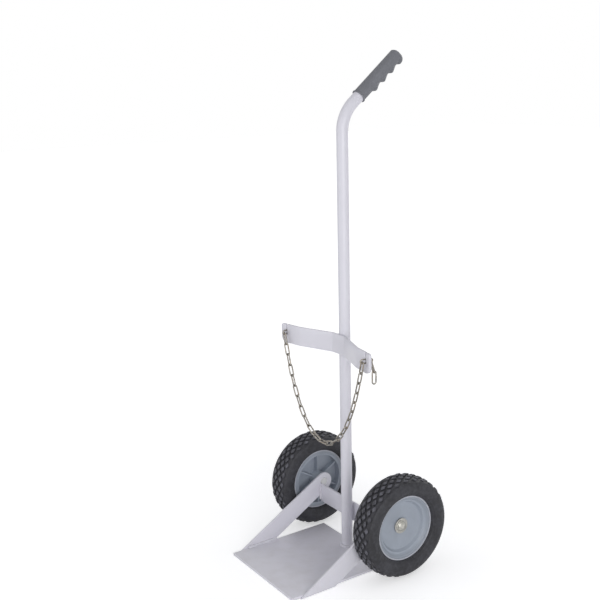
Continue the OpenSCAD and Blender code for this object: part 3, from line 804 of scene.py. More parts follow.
class TROLLEY_OT_saddle(Operator):
    """Cut the saddle's flat blank with its two slots, and bend its wings and ears"""

    bl_idname = "trolley.saddle"
    bl_label = "Saddle"

    # Half length of a bend, cuts on each side of a bend's middle, and a step along the bar
    ZONE, HALF_CUTS, STEP = 3 * MM, 4, 0.25 * MM
    CUT_ROOM = 0.01 * MM
    LOW_STEPS, TOP_STEPS, SLOT_STEPS = 12, 8, 12

    def execute(self, context):
        s = context.scene.trolley_frame
        wing_x = s.saddle_wing_x - s.saddle_flat
        wing = math.hypot(wing_x, s.saddle_wing_run)
        ear = math.hypot(s.saddle_ear_x, s.saddle_ear_run)
        self.bends = (s.saddle_flat, s.saddle_flat + wing)
        self.turns = (
            math.atan2(s.saddle_wing_run, wing_x), math.atan2(s.saddle_ear_run, s.saddle_ear_x)
        )
        end = s.saddle_flat + wing + ear
        slot = s.saddle_flat + wing + s.slot_from_bend / math.cos(self.turns[1])
        bm = plate_from_loops([self.blank(s, end, slot)], s.bar_t, s.edge_r)
        for bend in self.bends:
            for i in range(-self.HALF_CUTS, self.HALF_CUTS + 1):
                for side in SIDE_NAMES:
                    place = Vector((side * (bend + self.ZONE * i / self.HALF_CUTS), 0, 0))
                    bmesh.ops.bisect_plane(
                        bm, geom=bm.verts[:] + bm.edges[:] + bm.faces[:], dist=self.CUT_ROOM,
                        plane_co=place, plane_no=(1, 0, 0),
                    )
        table = self.bend_table(end)
        for vert in bm.verts:
            vert.co = self.bent(vert.co, table, s.bar_t / 2)
        place_painted(bm, "load_saddle", "saddle")
        return {"FINISHED"}

    def blank(self, s, end, slot):
        """The flat blank's outline: length over height, with slots open at the top."""
        low, high = SADDLE_LOW.z, SADDLE_HIGH.z
        low_r, top_r, half = s.ear_low_r, s.ear_top_r, s.slot_width / 2
        floor = high - s.slot_depth + half
        right = arc_points((end - low_r, low + low_r), low_r, -90, 0, self.LOW_STEPS)
        right += arc_points((end - top_r, high - top_r), top_r, 0, 90, self.TOP_STEPS)
        right += [(slot + half, high)]
        right += arc_points((slot, floor), half, 0, -180, self.SLOT_STEPS)
        right += [(slot - half, high)]
        return right + [(-u, w) for u, w in reversed(right)]

    def bend_table(self, end):
        """Places along the bent bar's middle: run, x, drop to the front and heading."""
        x = drop = run = 0.0
        table = [(0.0, 0.0, 0.0, 0.0)]
        while run < end + self.STEP:
            heading = before = 0.0
            for bend, turn in zip(self.bends, self.turns):
                into = (run + self.STEP / 2 - bend + self.ZONE) / (2 * self.ZONE)
                heading += (turn - before) * min(1.0, max(0.0, into))
                before = turn
            x += self.STEP * math.cos(heading)
            drop += self.STEP * math.sin(heading)
            run += self.STEP
            table.append((run, x, drop, heading))
        return table

    def bent(self, place, table, half):
        """Moves a point of the flat blank to its place on the bent bar."""
        side = RIGHT if place.x >= 0 else LEFT
        along = abs(place.x)
        run, x, drop, heading = table[min(len(table) - 2, int(along / self.STEP))]
        sine, cosine = math.sin(heading), math.cos(heading)
        on, off = along - run, place.y - half
        x += on * cosine + off * sine
        y = SADDLE_HIGH.y - half - drop - on * sine + off * cosine
        return Vector((side * x, y, place.z))


class TROLLEY_OT_welds(Operator):
    """Lay the weld beads with their ripples"""

    bl_idname = "trolley.welds"
    bl_label = "Weld beads"

    STEPS_IN_RIPPLE, LEAST_STEPS = 6, 8
    # Height of the ripples on a bead, and how much of it sinks in
    RIPPLE, NOOK_RIPPLE, SUNK = 0.3 * MM, 0.25 * MM, 0.7
    # A bead's section, as shares of its leg: the face's middle and radius, and the toes
    FACE_IN, FACE_R, TOE = 0.12, 0.92, 0.02
    FACE_FROM, FACE_TO, FACE_STEPS = 168, 102, 6
    # A nook bead's face: what is left at its narrow end, and how hollow it is
    NOOK_W, NOOK_D, NOOK_HOLLOW, NOOK_STEPS = 1.6 * MM, 2.2 * MM, 1.4, 4
    # How far above the cross bar's lower edge its end beads start, in legs
    END_RISE = 1.2

    def execute(self, context):
        s = context.scene.trolley_frame
        self.leg, self.pitch = s.weld_leg, s.weld_pitch
        self.step = s.weld_pitch / self.STEPS_IN_RIPPLE
        self.foot_bead(s)
        beads = self.nook_beads(s, -1, SADDLE_LOW.z, SADDLE_HIGH.z)
        self.place_beads("saddle_beads", "weld_saddle", beads)
        beads = self.nook_beads(s, 1, CROSS_LOW.z, CROSS_HIGH.z)
        self.place_beads("cross_beads", "weld_cross_bar", beads + self.end_beads(s))
        for side, name in SIDE_NAMES.items():
            low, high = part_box("weld_brace_" + name)
            bm = self.straight_bead(high.y - low.y)
            corner = high.x if side == RIGHT else low.x
            turn = Matrix.Translation((corner, low.y, low.z)) @ Matrix.Diagonal((side, 1, 1, 1))
            move(bm, turn)
            self.place_bead(bm, "plate_bead_" + name, "weld_brace_" + name)
        return {"FINISHED"}

    def place_bead(self, bm, name, node):
        """A painted bead on the frame."""
        place_piece(bm, name, "frame", node, "painted_bead", BEAD_SHARP)

    def place_beads(self, name, node, beads):
        """Several beads as one piece."""
        whole = bmesh.new()
        for bm in beads:
            pour_into(whole, bm)
        self.place_bead(whole, name, node)

    def bead_outline(self):
        """The bead's section in its corner: two legs and a bulging face."""
        leg = self.leg
        middle = (-self.FACE_IN * leg, self.FACE_IN * leg)
        bulge = arc_points(
            middle, self.FACE_R * leg, self.FACE_FROM, self.FACE_TO, self.FACE_STEPS
        )
        return [(0, 0), (-leg, self.TOE * leg)] + bulge[1:-1] + [(-self.TOE * leg, leg)]

    def ripple(self, bm, travel, height):
        """Raises a scalloped wave on the bead along its travel."""
        bmesh.ops.recalc_face_normals(bm, faces=bm.faces)
        bm.normal_update()
        for vert in bm.verts:
            wave = 2 * ((travel(vert.co) / self.pitch) % 1.0) - 1
            vert.co += vert.normal * height * (math.sqrt(max(0.0, 1 - wave**2)) - self.SUNK)

    def drawn_bead(self, section, along, run, height):
        """A bead drawn from its section along an axis."""
        bm = bmesh.new()
        face = bm.faces.new(draw_line(bm, section, True)[0])
        steps = max(self.LEAST_STEPS, int(run / self.step))
        bmesh.ops.spin(bm, geom=[face], axis=along, dvec=along * (run / steps), steps=steps)
        self.ripple(bm, along.dot, height)
        return bm

    def straight_bead(self, run):
        """A bead along +Y in the corner of a floor and a wall on its +X side."""
        section = [(u, 0, w) for u, w in self.bead_outline()]
        return self.drawn_bead(section, Vector((0, 1, 0)), run, self.RIPPLE)

    def foot_bead(self, s):
        """The ring round the tube's foot."""
        middle, bottom = node_middle("weld_tube_foot"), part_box("weld_tube_foot")[0].z
        bm = bmesh.new()
        outline = [(s.tube_r - u, w) for u, w in self.bead_outline()]
        turn_profile(bm, outline, int(FULL * s.tube_r / self.step))
        around = s.tube_r + self.leg / 2
        self.ripple(bm, lambda co: math.atan2(co.y, co.x) * around, self.RIPPLE)
        bmesh.ops.translate(bm, vec=(middle.x, middle.y, bottom), verts=bm.verts)
        self.place_bead(bm, "foot_bead", "weld_tube_foot")

    def nook_beads(self, s, facing, low, high):
        """The two upright beads between the tube and a flat bar before or behind it."""
        near, far = self.leg / 2, 2 * self.leg
        wide, deep = far - near - self.NOOK_W, far - near - self.NOOK_D
        outline = [(near, s.tube_r)]
        for i in range(self.NOOK_STEPS + 1):
            t = i / self.NOOK_STEPS
            outline.append((far - wide * t, s.tube_r - deep * t**self.NOOK_HOLLOW))
        beads, up = [], Vector((0, 0, 1))
        for side in SIDE_NAMES:
            section = [(side * x, tube_y(s) + facing * y, low) for x, y in outline]
            beads.append(self.drawn_bead(section, up, high - low, self.NOOK_RIPPLE))
        return beads

    def end_beads(self, s):
        """The cross bar's beads at both braces."""
        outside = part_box("weld_cross_bar")[1].x
        back = tube_y(s) + s.tube_r
        bottom, top = CROSS_LOW.z + self.END_RISE * self.leg, CROSS_HIGH.z - self.leg
        beads = []
        for side in SIDE_NAMES:
            bm = self.straight_bead(top - bottom)
            stand = Matrix((
                (side, 0, 0, side * outside), (0, 0, -1, back), (0, 1, 0, bottom), (0, 0, 0, 1)
            ))
            move(bm, stand)
            beads.append(bm)
        return beads


class TROLLEY_OT_axles(Operator):
    """Model the stub axles, washers and push-on caps"""

    bl_idname = "trolley.axles"
    bl_label = "Axles, washers and caps"

    AXLE_STEPS, WASHER_STEPS, CAP_STEPS, DOME_STEPS = 64, 72, 64, 12
    # Chamfers of an axle's inner and outer end, and rounding of a washer's edges
    INNER_CHAMFER, OUTER_CHAMFER, WASHER_EDGE = 0.4 * MM, 1 * MM, 0.3 * MM
    # A cap's foot: its rolled edge and the fillet to its wall; and the top's extra metal
    FOOT_EDGE, FOOT_FILLET, TOP_EXTRA = 0.9 * MM, 0.5 * MM, 0.2 * MM

    def execute(self, context):
        w = context.scene.trolley_wheels
        for side, name in SIDE_NAMES.items():
            self.axle(w, side, name)
            for place in ("inner", "outer"):
                self.washer(w, side, "%s_%s" % (place, name))
            self.cap(w, side, name)
        return {"FINISHED"}

    def span(self, node, side):
        """A node's ends along the wheel's axis, outwards from the wheel's middle."""
        return sorted(side * corner.x - WHEEL_MIDDLE.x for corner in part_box(node))

    def axle(self, w, side, name):
        """The stub axle, with chamfered ends."""
        low, high = self.span("stub_axle_" + name, side)
        inner, outer = self.INNER_CHAMFER, self.OUTER_CHAMFER
        shaft = [(0, low), (w.axle_r - inner, low), (w.axle_r, low + inner)]
        shaft += [(w.axle_r, high - outer), (w.axle_r - outer, high), (0, high)]
        turned_piece(
            "axle_" + name, shaft, side, "frame", "stub_axle_" + name, "turned_steel",
            self.AXLE_STEPS, closed=False,
        )

    def washer(self, w, side, name):
        """A plain washer."""
        low, high = self.span("washer_" + name, side)
        bore = w.axle_r + TURN_ROOM
        ring = [(bore, low), (w.washer_r, low), (w.washer_r, high), (bore, high)]
        turned_piece(
            "plain_washer_" + name, ring, side, "frame", "washer_" + name, "clean_zinc",
            self.WASHER_STEPS, edge=self.WASHER_EDGE,
        )

    def cap(self, w, side, name):
        """The domed push-on cap with its flat foot."""
        low, high = self.span("axle_cap_" + name, side)
        bore, fillet = w.axle_r + SEAT_ROOM, self.FOOT_FILLET
        cap_r = bore + w.cap_wall
        foot_r = cap_r + w.cap_foot
        profile = [(bore, low), (foot_r, low), (foot_r, low + self.FOOT_EDGE)]
        profile += [(cap_r + fillet, low + w.cap_wall), (cap_r, low + w.cap_wall + fillet)]
        dome_r = (cap_r**2 + w.cap_dome**2) / (2 * w.cap_dome)
        for i in range(self.DOME_STEPS + 1):
            r = cap_r * math.cos(QUARTER * i / self.DOME_STEPS)
            profile.append((r, high - dome_r + math.sqrt(max(0.0, dome_r**2 - r**2))))
        under = high - w.cap_dome - self.TOP_EXTRA
        profile += [(0, under), (bore, under)]
        turned_piece(
            "push_cap_" + name, profile, side, "frame", "axle_cap_" + name,
            "cloudy_cap", self.CAP_STEPS,
        )


class TROLLEY_OT_hubs(Operator):
    """Model the hubs with their ribs, and the bushes in them"""

    bl_idname = "trolley.hubs"
    bl_label = "Hubs and bushes"

    AROUND, BUSH_AROUND = 120, 72
    # Rounding of the hub's and the bushes' edges, and the least angle rounded, in degrees
    EDGE, BUSH_EDGE, EDGE_DEGREES = 0.6 * MM, 0.25 * MM, 24
    # The outer face from the rim to the boss, in millimetres outwards and upwards of its marks:
    # a raised edge, the recess inside it, a ledge half-way down, the dish and the collar
    FACE = {
        "rim": ((0, 0.8), (-2.6, 0.8), (-3.4, -1.4)),
        "lip": ((1.2, -2.0),),
        "ledge": ((1.6, 0), (-1.2, -0.4)),
        "dish": ((0, 0.3), (-2.5, -0.6)),
        "boss": ((6, 0.4), (4.5, 0), (0, 0)),
    }
    # How far a rib runs into rim and boss and into the web, and its share of the wall
    RIB_LAP, RIB_ROOT, RIB_SHARE = 1.2 * MM, 0.6 * MM, 0.8
    # A bush's wall, and the width of its flange
    BUSH_WALL, BUSH_BRIM = 2.6 * MM, 3 * MM

    def execute(self, context):
        w = context.scene.trolley_wheels
        self.back = -w.half_w + w.bush_flange
        for side, name in SIDE_NAMES.items():
            self.hub(w, side, name)
            self.bush(w, side, name, "inner", self.back, 1)
            self.bush(w, side, name, "outer", w.boss_z, -1)
        return {"FINISHED"}

    def face(self, w, rim):
        """Points of radius and height on the outer face."""
        lip = w.flange_r - w.lip_face
        marks = {
            "rim": (w.flange_r, rim), "lip": (lip, rim),
            "ledge": ((lip + w.dish_r) / 2, (rim + w.dish_z) / 2),
            "dish": (w.dish_r, w.dish_z), "boss": (w.boss_r, w.boss_z),
        }
        points = []
        for name, steps in self.FACE.items():
            r, z = marks[name]
            points += [(r + out * MM, z + up * MM) for out, up in steps]
        return points

    def hub(self, w, side, name):
        """The rim, dish and boss as one turned form, with ribs behind the web."""
        rim = w.half_w - w.sidewall_bulge - w.rim_inset
        inner = rim - w.flange_t
        rim_in = w.seat_r - w.hub_wall
        web = w.boss_z - w.hub_wall
        profile = [
            (w.bore_r, self.back), (w.boss_r, self.back), (w.boss_r, web), (rim_in, web),
            (rim_in, -rim), (w.flange_r, -rim), (w.flange_r, -inner), (w.seat_r, -inner),
            (w.seat_r, inner), (w.flange_r, inner), *self.face(w, rim), (w.bore_r, w.boss_z),
        ]
        bm = bmesh.new()
        turn_profile(bm, profile, self.AROUND)
        round_edges(bm, self.EDGE, 2, self.EDGE_DEGREES)
        tall = web + w.rib_depth + self.RIB_ROOT
        size = (rim_in - w.boss_r + self.RIB_LAP, w.hub_wall * self.RIB_SHARE, tall)
        middle = ((rim_in + w.boss_r) / 2, 0, tall / 2 - w.rib_depth)
        for i in range(w.rib_count):
            rib = block(size, middle, self.EDGE, 2)
            pour_into(bm, rib, Matrix.Rotation(FULL * i / w.rib_count, 4, "Z"))
        move(bm, axle_matrix(side))
        place_piece(
            bm, "wheel_hub_" + name, "wheel_" + name, "hub_" + name,
            "grey_plastic",
        )

    def bush(self, w, side, name, place, z, towards):
        """A flanged bush whose barrel runs from z towards the hub's middle."""
        bore = w.axle_r + TURN_ROOM
        barrel = bore + self.BUSH_WALL
        flange = barrel + self.BUSH_BRIM
        end, face = z + towards * w.bush_length, z - towards * w.bush_flange
        profile = [
            (bore, end), (barrel, end), (barrel, z), (flange, z), (flange, face), (bore, face)
        ]
        node = "bush_%s_%s" % (place, name)
        turned_piece(
            "plain_" + node, profile, side, "wheel_" + name, node, "greased_nylon",
            self.BUSH_AROUND, self.BUSH_EDGE,
        )


class TROLLEY_OT_tyres(Operator):
    """Model the tyres: a carcass with ribbed sidewalls, and rows of tread blocks"""

    bl_idname = "trolley.tyres"
    bl_label = "Tyres"

    AROUND, OUTLINE_STEPS, CARCASS_STEPS, HALF_ROWS = 144, 60, 80, 3
    # How far crown and sidewall stop short of their corner, how often that corner is cut
    # round, and the share of a side that a cut takes
    SOFT, CUTS, CUT = 1.4 * MM, 3, 0.25
    # The outer grooves: their share of the depth, where they start and both their slopes
    SHALLOW, DEEP_SHORT, DEEP_SLOPE, SHALLOW_SLOPE = 0.5, 1 * MM, 3 * MM, 4 * MM
    # The sidewall's ribs: height, half width and distances from the rim
    RIB_HEIGHT, RIB_HALF, RIB_PLACES = 0.45 * MM, 0.8 * MM, (4.2 * MM, 8.5 * MM)
    # A tread block: its cut corners, its taper, and the drop, width and rise of its top's edge
    CORNER, TAPER, TOP_DROP, TOP_EDGE, TOP_RISE = 1.6 * MM, 0.93, 0.1 * MM, 0.55 * MM, 0.35 * MM
    NO_LENGTH = 1e-9

    def execute(self, context):
        w = context.scene.trolley_wheels
        self.section = self.half_section(w)
        for side, name in SIDE_NAMES.items():
            bm = bmesh.new()
            turn_profile(bm, self.carcass(w), self.AROUND)
            blocks = bmesh.new()
            for row in range(-self.HALF_ROWS, self.HALF_ROWS):
                self.tread_row(blocks, w, (row + 0.5) * w.tread_pitch, row % 2)
            pour_into(bm, blocks)
            move(bm, axle_matrix(side))
            place_piece(
                bm, "treaded_tyre_" + name, "wheel_" + name, "tyre_" + name,
                "worn_rubber",
            )
        return {"FINISHED"}

    def half_section(self, w):
        """The tyre's outline from the middle of its tread to the rim: (radius, height) points."""
        span = (w.wheel_r - w.flange_r) / 2
        bulge_r = (span**2 + w.sidewall_bulge**2) / (2 * w.sidewall_bulge)
        middle = (w.flange_r + span, w.half_w - bulge_r)
        crown_middle = (w.wheel_r - w.crown_r, 0)
        crown, sides = [], []
        for i in range(self.OUTLINE_STEPS + 1):
            x = w.half_w * i / self.OUTLINE_STEPS
            r = crown_middle[0] + math.sqrt(w.crown_r**2 - x**2)
            if math.dist((r, x), middle) < bulge_r - self.SOFT or x < middle[1]:
                crown.append((r, x))
            r = w.wheel_r - 2 * span * i / self.OUTLINE_STEPS
            x = middle[1] + math.sqrt(max(0.0, bulge_r**2 - (r - middle[0]) ** 2))
            if math.dist((r, x), crown_middle) < w.crown_r - self.SOFT:
                sides.append((r, x))
        points, keep = crown + sides, 1 - self.CUT
        for _ in range(self.CUTS):
            cut = [points[0]]
            for p, q in zip(points, points[1:]):
                for a, b in ((p, q), (q, p)):
                    cut.append((keep * a[0] + self.CUT * b[0], keep * a[1] + self.CUT * b[1]))
            points = cut + [points[-1]]
        runs = [0.0]
        for p, q in zip(points, points[1:]):
            runs.append(runs[-1] + math.dist(p, q))
        return list(zip(runs, points))

    def on_section(self, across, height):
        """The point at a distance across the tread from its middle, raised by a height."""
        side = RIGHT if across >= 0 else LEFT
        run = min(abs(across), self.section[-1][0])
        reached = run - self.NO_LENGTH
        i = next(k for k in range(1, len(self.section)) if self.section[k][0] >= reached)
        (run_a, a), (run_b, b) = self.section[i - 1], self.section[i]
        share = (run - run_a) / max(self.NO_LENGTH, run_b - run_a)
        tangent = Vector((b[0] - a[0], b[1] - a[1])).normalized()
        r = a[0] + (b[0] - a[0]) * share + tangent.y * height
        x = a[1] + (b[1] - a[1]) * share - tangent.x * height
        return r, side * x

    def carcass(self, w):
        """The closed outline below the tread blocks, with two ribs on each sidewall."""
        end = self.section[-1][0]
        deep_end = (self.HALF_ROWS - 1) * w.tread_pitch - self.DEEP_SHORT
        shallow_end = self.HALF_ROWS * w.tread_pitch
        shallow = self.SHALLOW * w.groove_depth
        half = []
        for i in range(self.CARCASS_STEPS + 1):
            run = end * i / self.CARCASS_STEPS
            rise = smooth_step((run - deep_end) / self.DEEP_SLOPE)
            sunk = w.groove_depth - (w.groove_depth - shallow) * rise
            sunk -= shallow * smooth_step((run - shallow_end) / self.SHALLOW_SLOPE)
            past = [(run - end + place) / self.RIB_HALF for place in self.RIB_PLACES]
            rib = sum(self.RIB_HEIGHT * math.exp(-(p**2)) for p in past)
            half.append(self.on_section(run, rib - sunk))
        bead = w.half_w - w.sidewall_bulge - w.rim_inset - w.flange_t - SEAT_ROOM
        half += [(w.flange_r + SEAT_ROOM, bead), (w.seat_r + SEAT_ROOM, bead)]
        return half + [(r, -x) for r, x in reversed(half) if x > 0]

    def tread_block(self, w, around):
        """One flat diamond block whose top has a soft edge."""
        lean = math.hypot(around, w.tread_pitch)
        shrink = 1 - w.groove_width * lean / (2 * around * w.tread_pitch)
        bm = bmesh.new()
        bmesh.ops.create_circle(bm, cap_ends=True, radius=1.0, segments=4)
        size = (around * shrink, w.tread_pitch * shrink, 1.0)
        bmesh.ops.scale(bm, vec=size, verts=bm.verts)
        bmesh.ops.bevel(
            bm, geom=list(bm.verts), offset=self.CORNER, offset_type="OFFSET",
            affect="VERTICES", segments=2, profile=0.5, material=-1, clamp_overlap=True,
        )
        made = bmesh.ops.extrude_face_region(bm, geom=list(bm.faces))["geom"]
        top = verts_of(made)
        lid = [g for g in made if isinstance(g, bmesh.types.BMFace)]
        bmesh.ops.translate(bm, vec=(0, 0, w.groove_depth - self.TOP_DROP), verts=top)
        bmesh.ops.scale(bm, vec=(self.TAPER, self.TAPER, 1), verts=top)
        bmesh.ops.inset_region(
            bm, faces=lid, thickness=self.TOP_EDGE, depth=self.TOP_RISE, use_even_offset=True
        )
        high = [f for f in bm.faces if f.calc_center_median().z > w.groove_depth]
        bmesh.ops.poke(bm, faces=[f for f in high if len(f.verts) > 4])
        return bm

    def tread_row(self, blocks, w, across, stagger):
        """One row of diamond blocks round the tyre."""
        pitch = FULL / w.tread_rows
        bm = self.tread_block(w, w.wheel_r * pitch / 2)
        top_level = w.groove_depth - self.TOP_DROP + self.TOP_RISE
        for vert in bm.verts:
            turn = vert.co.x / w.wheel_r + pitch * stagger / 2
            r, x = self.on_section(across + vert.co.y, min(0.0, vert.co.z - top_level))
            vert.co = Vector((r * math.cos(turn), r * math.sin(turn), x))
        steps = w.tread_rows - 1
        bmesh.ops.spin(
            bm, geom=bm.verts[:] + bm.edges[:] + bm.faces[:], axis=(0, 0, 1),
            angle=pitch * steps, steps=steps, use_duplicate=True,
        )
        pour_into(blocks, bm)


class TROLLEY_OT_chain(Operator):
    """Model the chain: the links in the slots, the hanging loop, the spare links and the ring"""

    bl_idname = "trolley.chain"
    bl_label = "Chain"

    WIRE_AROUND, BOW_STEPS, RING_AROUND, RING_STEPS = 14, 12, 16, 64
    # The welded leg: shares of its length, and how thick the wire is at the end of each
    WELDED_LEG = ((0.42, 1.0), (0.05, 1.16), (0.06, 1.16), (0.05, 1.0), (0.42, 1.0))
    # Points of a link closer than this are one point
    LINK_MERGE = 0.01 * MM
    # Where the catenary's slack is looked for, and how often that range is halved
    SLACK_FROM, SLACK_TO, HALVINGS = 0.01, 8.0, 40

    def execute(self, context):
        c = context.scene.trolley_chain
        s = context.scene.trolley_frame
        self.bow_r = c.inner_w / 2 + c.wire_r
        self.straight = c.inner_l - c.inner_w
        self.pitch = c.inner_l - c.room
        self.hook = 2 * c.wire_r + c.room
        self.reach = c.inner_l / 2 + c.wire_r
        self.ear_turn = math.atan2(s.saddle_ear_run, s.saddle_ear_x)
        self.link_mesh(c)
        for side, name in SIDE_NAMES.items():
            node = "chain_anchor_" + name
            turn = Matrix.Rotation(QUARTER - side * self.ear_turn, 4, "Z")
            stand = turn @ Matrix.Rotation(QUARTER, 4, "X")
            place = Matrix.Translation(node_middle(node)) @ stand
            self.links("slot_link_" + name, "frame", node, [place])
        self.links("hanging_chain", "chain_loop", "chain_loop", self.loop_places(c))
        self.links("spare_links", "chain_tail", "chain_tail", self.tail_places(c))
        self.keeper_ring(c)
        bpy.data.meshes.remove(self.link)
        return {"FINISHED"}

    def link_mesh(self, c):
        """One straight oval link, flat, with its length along +X and a weld in one leg."""
        bm = bmesh.new()
        half = self.straight / 2
        bmesh.ops.create_circle(bm, cap_ends=False, radius=c.wire_r, segments=self.WIRE_AROUND)
        stand = Matrix.Translation((-half, self.bow_r, 0)) @ Matrix.Rotation(QUARTER, 4, "Y")
        move(bm, stand)
        ring = list(bm.edges)
        for run, swell in self.WELDED_LEG:
            ring = self.draw_on(bm, ring, run * self.straight, swell * c.wire_r)
        ring = self.turn_bow(bm, ring, half)
        ring = self.draw_on(bm, ring, -self.straight, c.wire_r)
        self.turn_bow(bm, ring, -half)
        bmesh.ops.remove_doubles(bm, verts=bm.verts, dist=self.LINK_MERGE)
        self.link = bpy.data.meshes.new("link")
        bm.to_mesh(self.link)
        bm.free()

    def draw_on(self, bm, ring, run, wire_r):
        """Extrudes a ring of wire along X, and sets how thick it ends."""
        made = bmesh.ops.extrude_edge_only(bm, edges=ring)["geom"]
        verts = verts_of(made)
        bmesh.ops.translate(bm, vec=(run, 0, 0), verts=verts)
        middle = sum((v.co for v in verts), Vector()) / len(verts)
        scale = wire_r / max((v.co - middle).length for v in verts)
        around = Matrix.Translation(-middle)
        bmesh.ops.scale(bm, vec=(scale, scale, scale), space=around, verts=verts)
        return edges_of(made)

    def turn_bow(self, bm, ring, x):
        """Spins a ring of wire half round a bow's middle."""
        verts = list({v for e in ring for v in e.verts})
        made = bmesh.ops.spin(
            bm, geom=verts + ring, cent=(x, 0, 0), axis=(0, 0, -1), angle=math.pi,
            steps=self.BOW_STEPS,
        )
        return edges_of(made["geom_last"])

    def links(self, name, body, node, places):
        """A piece made of links at the given places."""
        whole = bmesh.new()
        for place in places:
            bm = bmesh.new()
            bm.from_mesh(self.link)
            pour_into(whole, bm, place)
        place_piece(whole, name, body, node, "dull_zinc", BEAD_SHARP)

    def slack(self, ratio):
        """Half span over the catenary's parameter, for a length over span."""
        low, high = self.SLACK_FROM, self.SLACK_TO
        for _ in range(self.HALVINGS):
            middle = (low + high) / 2
            low, high = (middle, high) if math.sinh(middle) / middle < ratio else (low, middle)
        return (low + high) / 2

    def loop_places(self, c):
        """The hanging loop's links, on a catenary between the two links in the slots."""
        anchor = node_middle("chain_anchor_right")
        leg_z = anchor.z - self.bow_r
        out = self.straight / 2
        leg_x = anchor.x - out * math.sin(self.ear_turn)
        y = anchor.y - out * math.cos(self.ear_turn)
        run = c.loop_links * self.pitch + self.hook
        slope = math.atan(math.sinh(self.slack(run / (2 * leg_x))))
        half = leg_x + self.hook * math.cos(slope)
        top = leg_z + self.hook * math.sin(slope)
        u = self.slack(run / (2 * half))
        a = half / u
        points = []
        for k in range(c.loop_links + 1):
            x = a * math.asinh((k - c.loop_links / 2) * self.pitch / a)
            points.append(Vector((x, y, top + a * (math.cosh(x / a) - math.cosh(u)))))
        places = []
        for i, (p, q) in enumerate(zip(points, points[1:])):
            tilt = Matrix.Rotation(-math.atan2(q.z - p.z, q.x - p.x), 4, "Y")
            roll = Matrix.Rotation(0.0 if i % 2 else QUARTER, 4, "X")
            places.append(Matrix.Translation((p + q) / 2) @ tilt @ roll)
        return places

    def behind_ear(self, side):
        """The frame of what hangs in the back bow of a slot's link, at its leg's height."""
        anchor = node_middle("chain_anchor_" + SIDE_NAMES[side])
        turn = Matrix.Rotation(-side * self.ear_turn, 4, "Z")
        back_bow = Matrix.Translation((0, self.straight / 2, -self.bow_r))
        return Matrix.Translation(anchor) @ turn @ back_bow

    def tail_places(self, c):
        """The spare links behind the right ear: the first leans back, the others hang straight."""
        lean = Matrix.Rotation(c.tail_lean, 4, "X")
        hook = Matrix.Translation((0, 0, self.hook))
        half = Matrix.Translation((0, 0, -self.reach))
        upright = Matrix.Rotation(QUARTER, 4, "Y")
        top = self.behind_ear(RIGHT) @ hook @ lean
        places = []
        for i in range(c.tail_links):
            roll = Matrix.Rotation(0.0 if i % 2 else QUARTER, 4, "X")
            places.append(top @ half @ upright @ roll)
            straighten = Matrix.Identity(4) if i else lean.inverted()
            top = top @ half @ half @ straighten @ hook
        return places

    def keeper_ring(self, c):
        """The welded ring behind the left ear."""
        bm = bmesh.new()
        bmesh.ops.create_circle(
            bm, cap_ends=False, radius=c.ring_wire_r, segments=self.RING_AROUND
        )
        stand = Matrix.Translation((c.ring_r, 0, 0)) @ Matrix.Rotation(QUARTER, 4, "X")
        move(bm, stand)
        bmesh.ops.spin(
            bm, geom=bm.verts[:] + bm.edges[:], axis=(0, 0, 1), angle=FULL,
            steps=self.RING_STEPS, use_merge=True,
        )
        drop = Matrix.Translation((0, 0, c.wire_r + c.ring_wire_r + c.room - c.ring_r))
        place = self.behind_ear(LEFT) @ drop @ Matrix.Rotation(QUARTER, 4, "X")
        move(bm, place)
        place_piece(
            bm, "welded_ring", "keeper_ring", "keeper_ring", "dull_zinc", BEAD_SHARP
        )


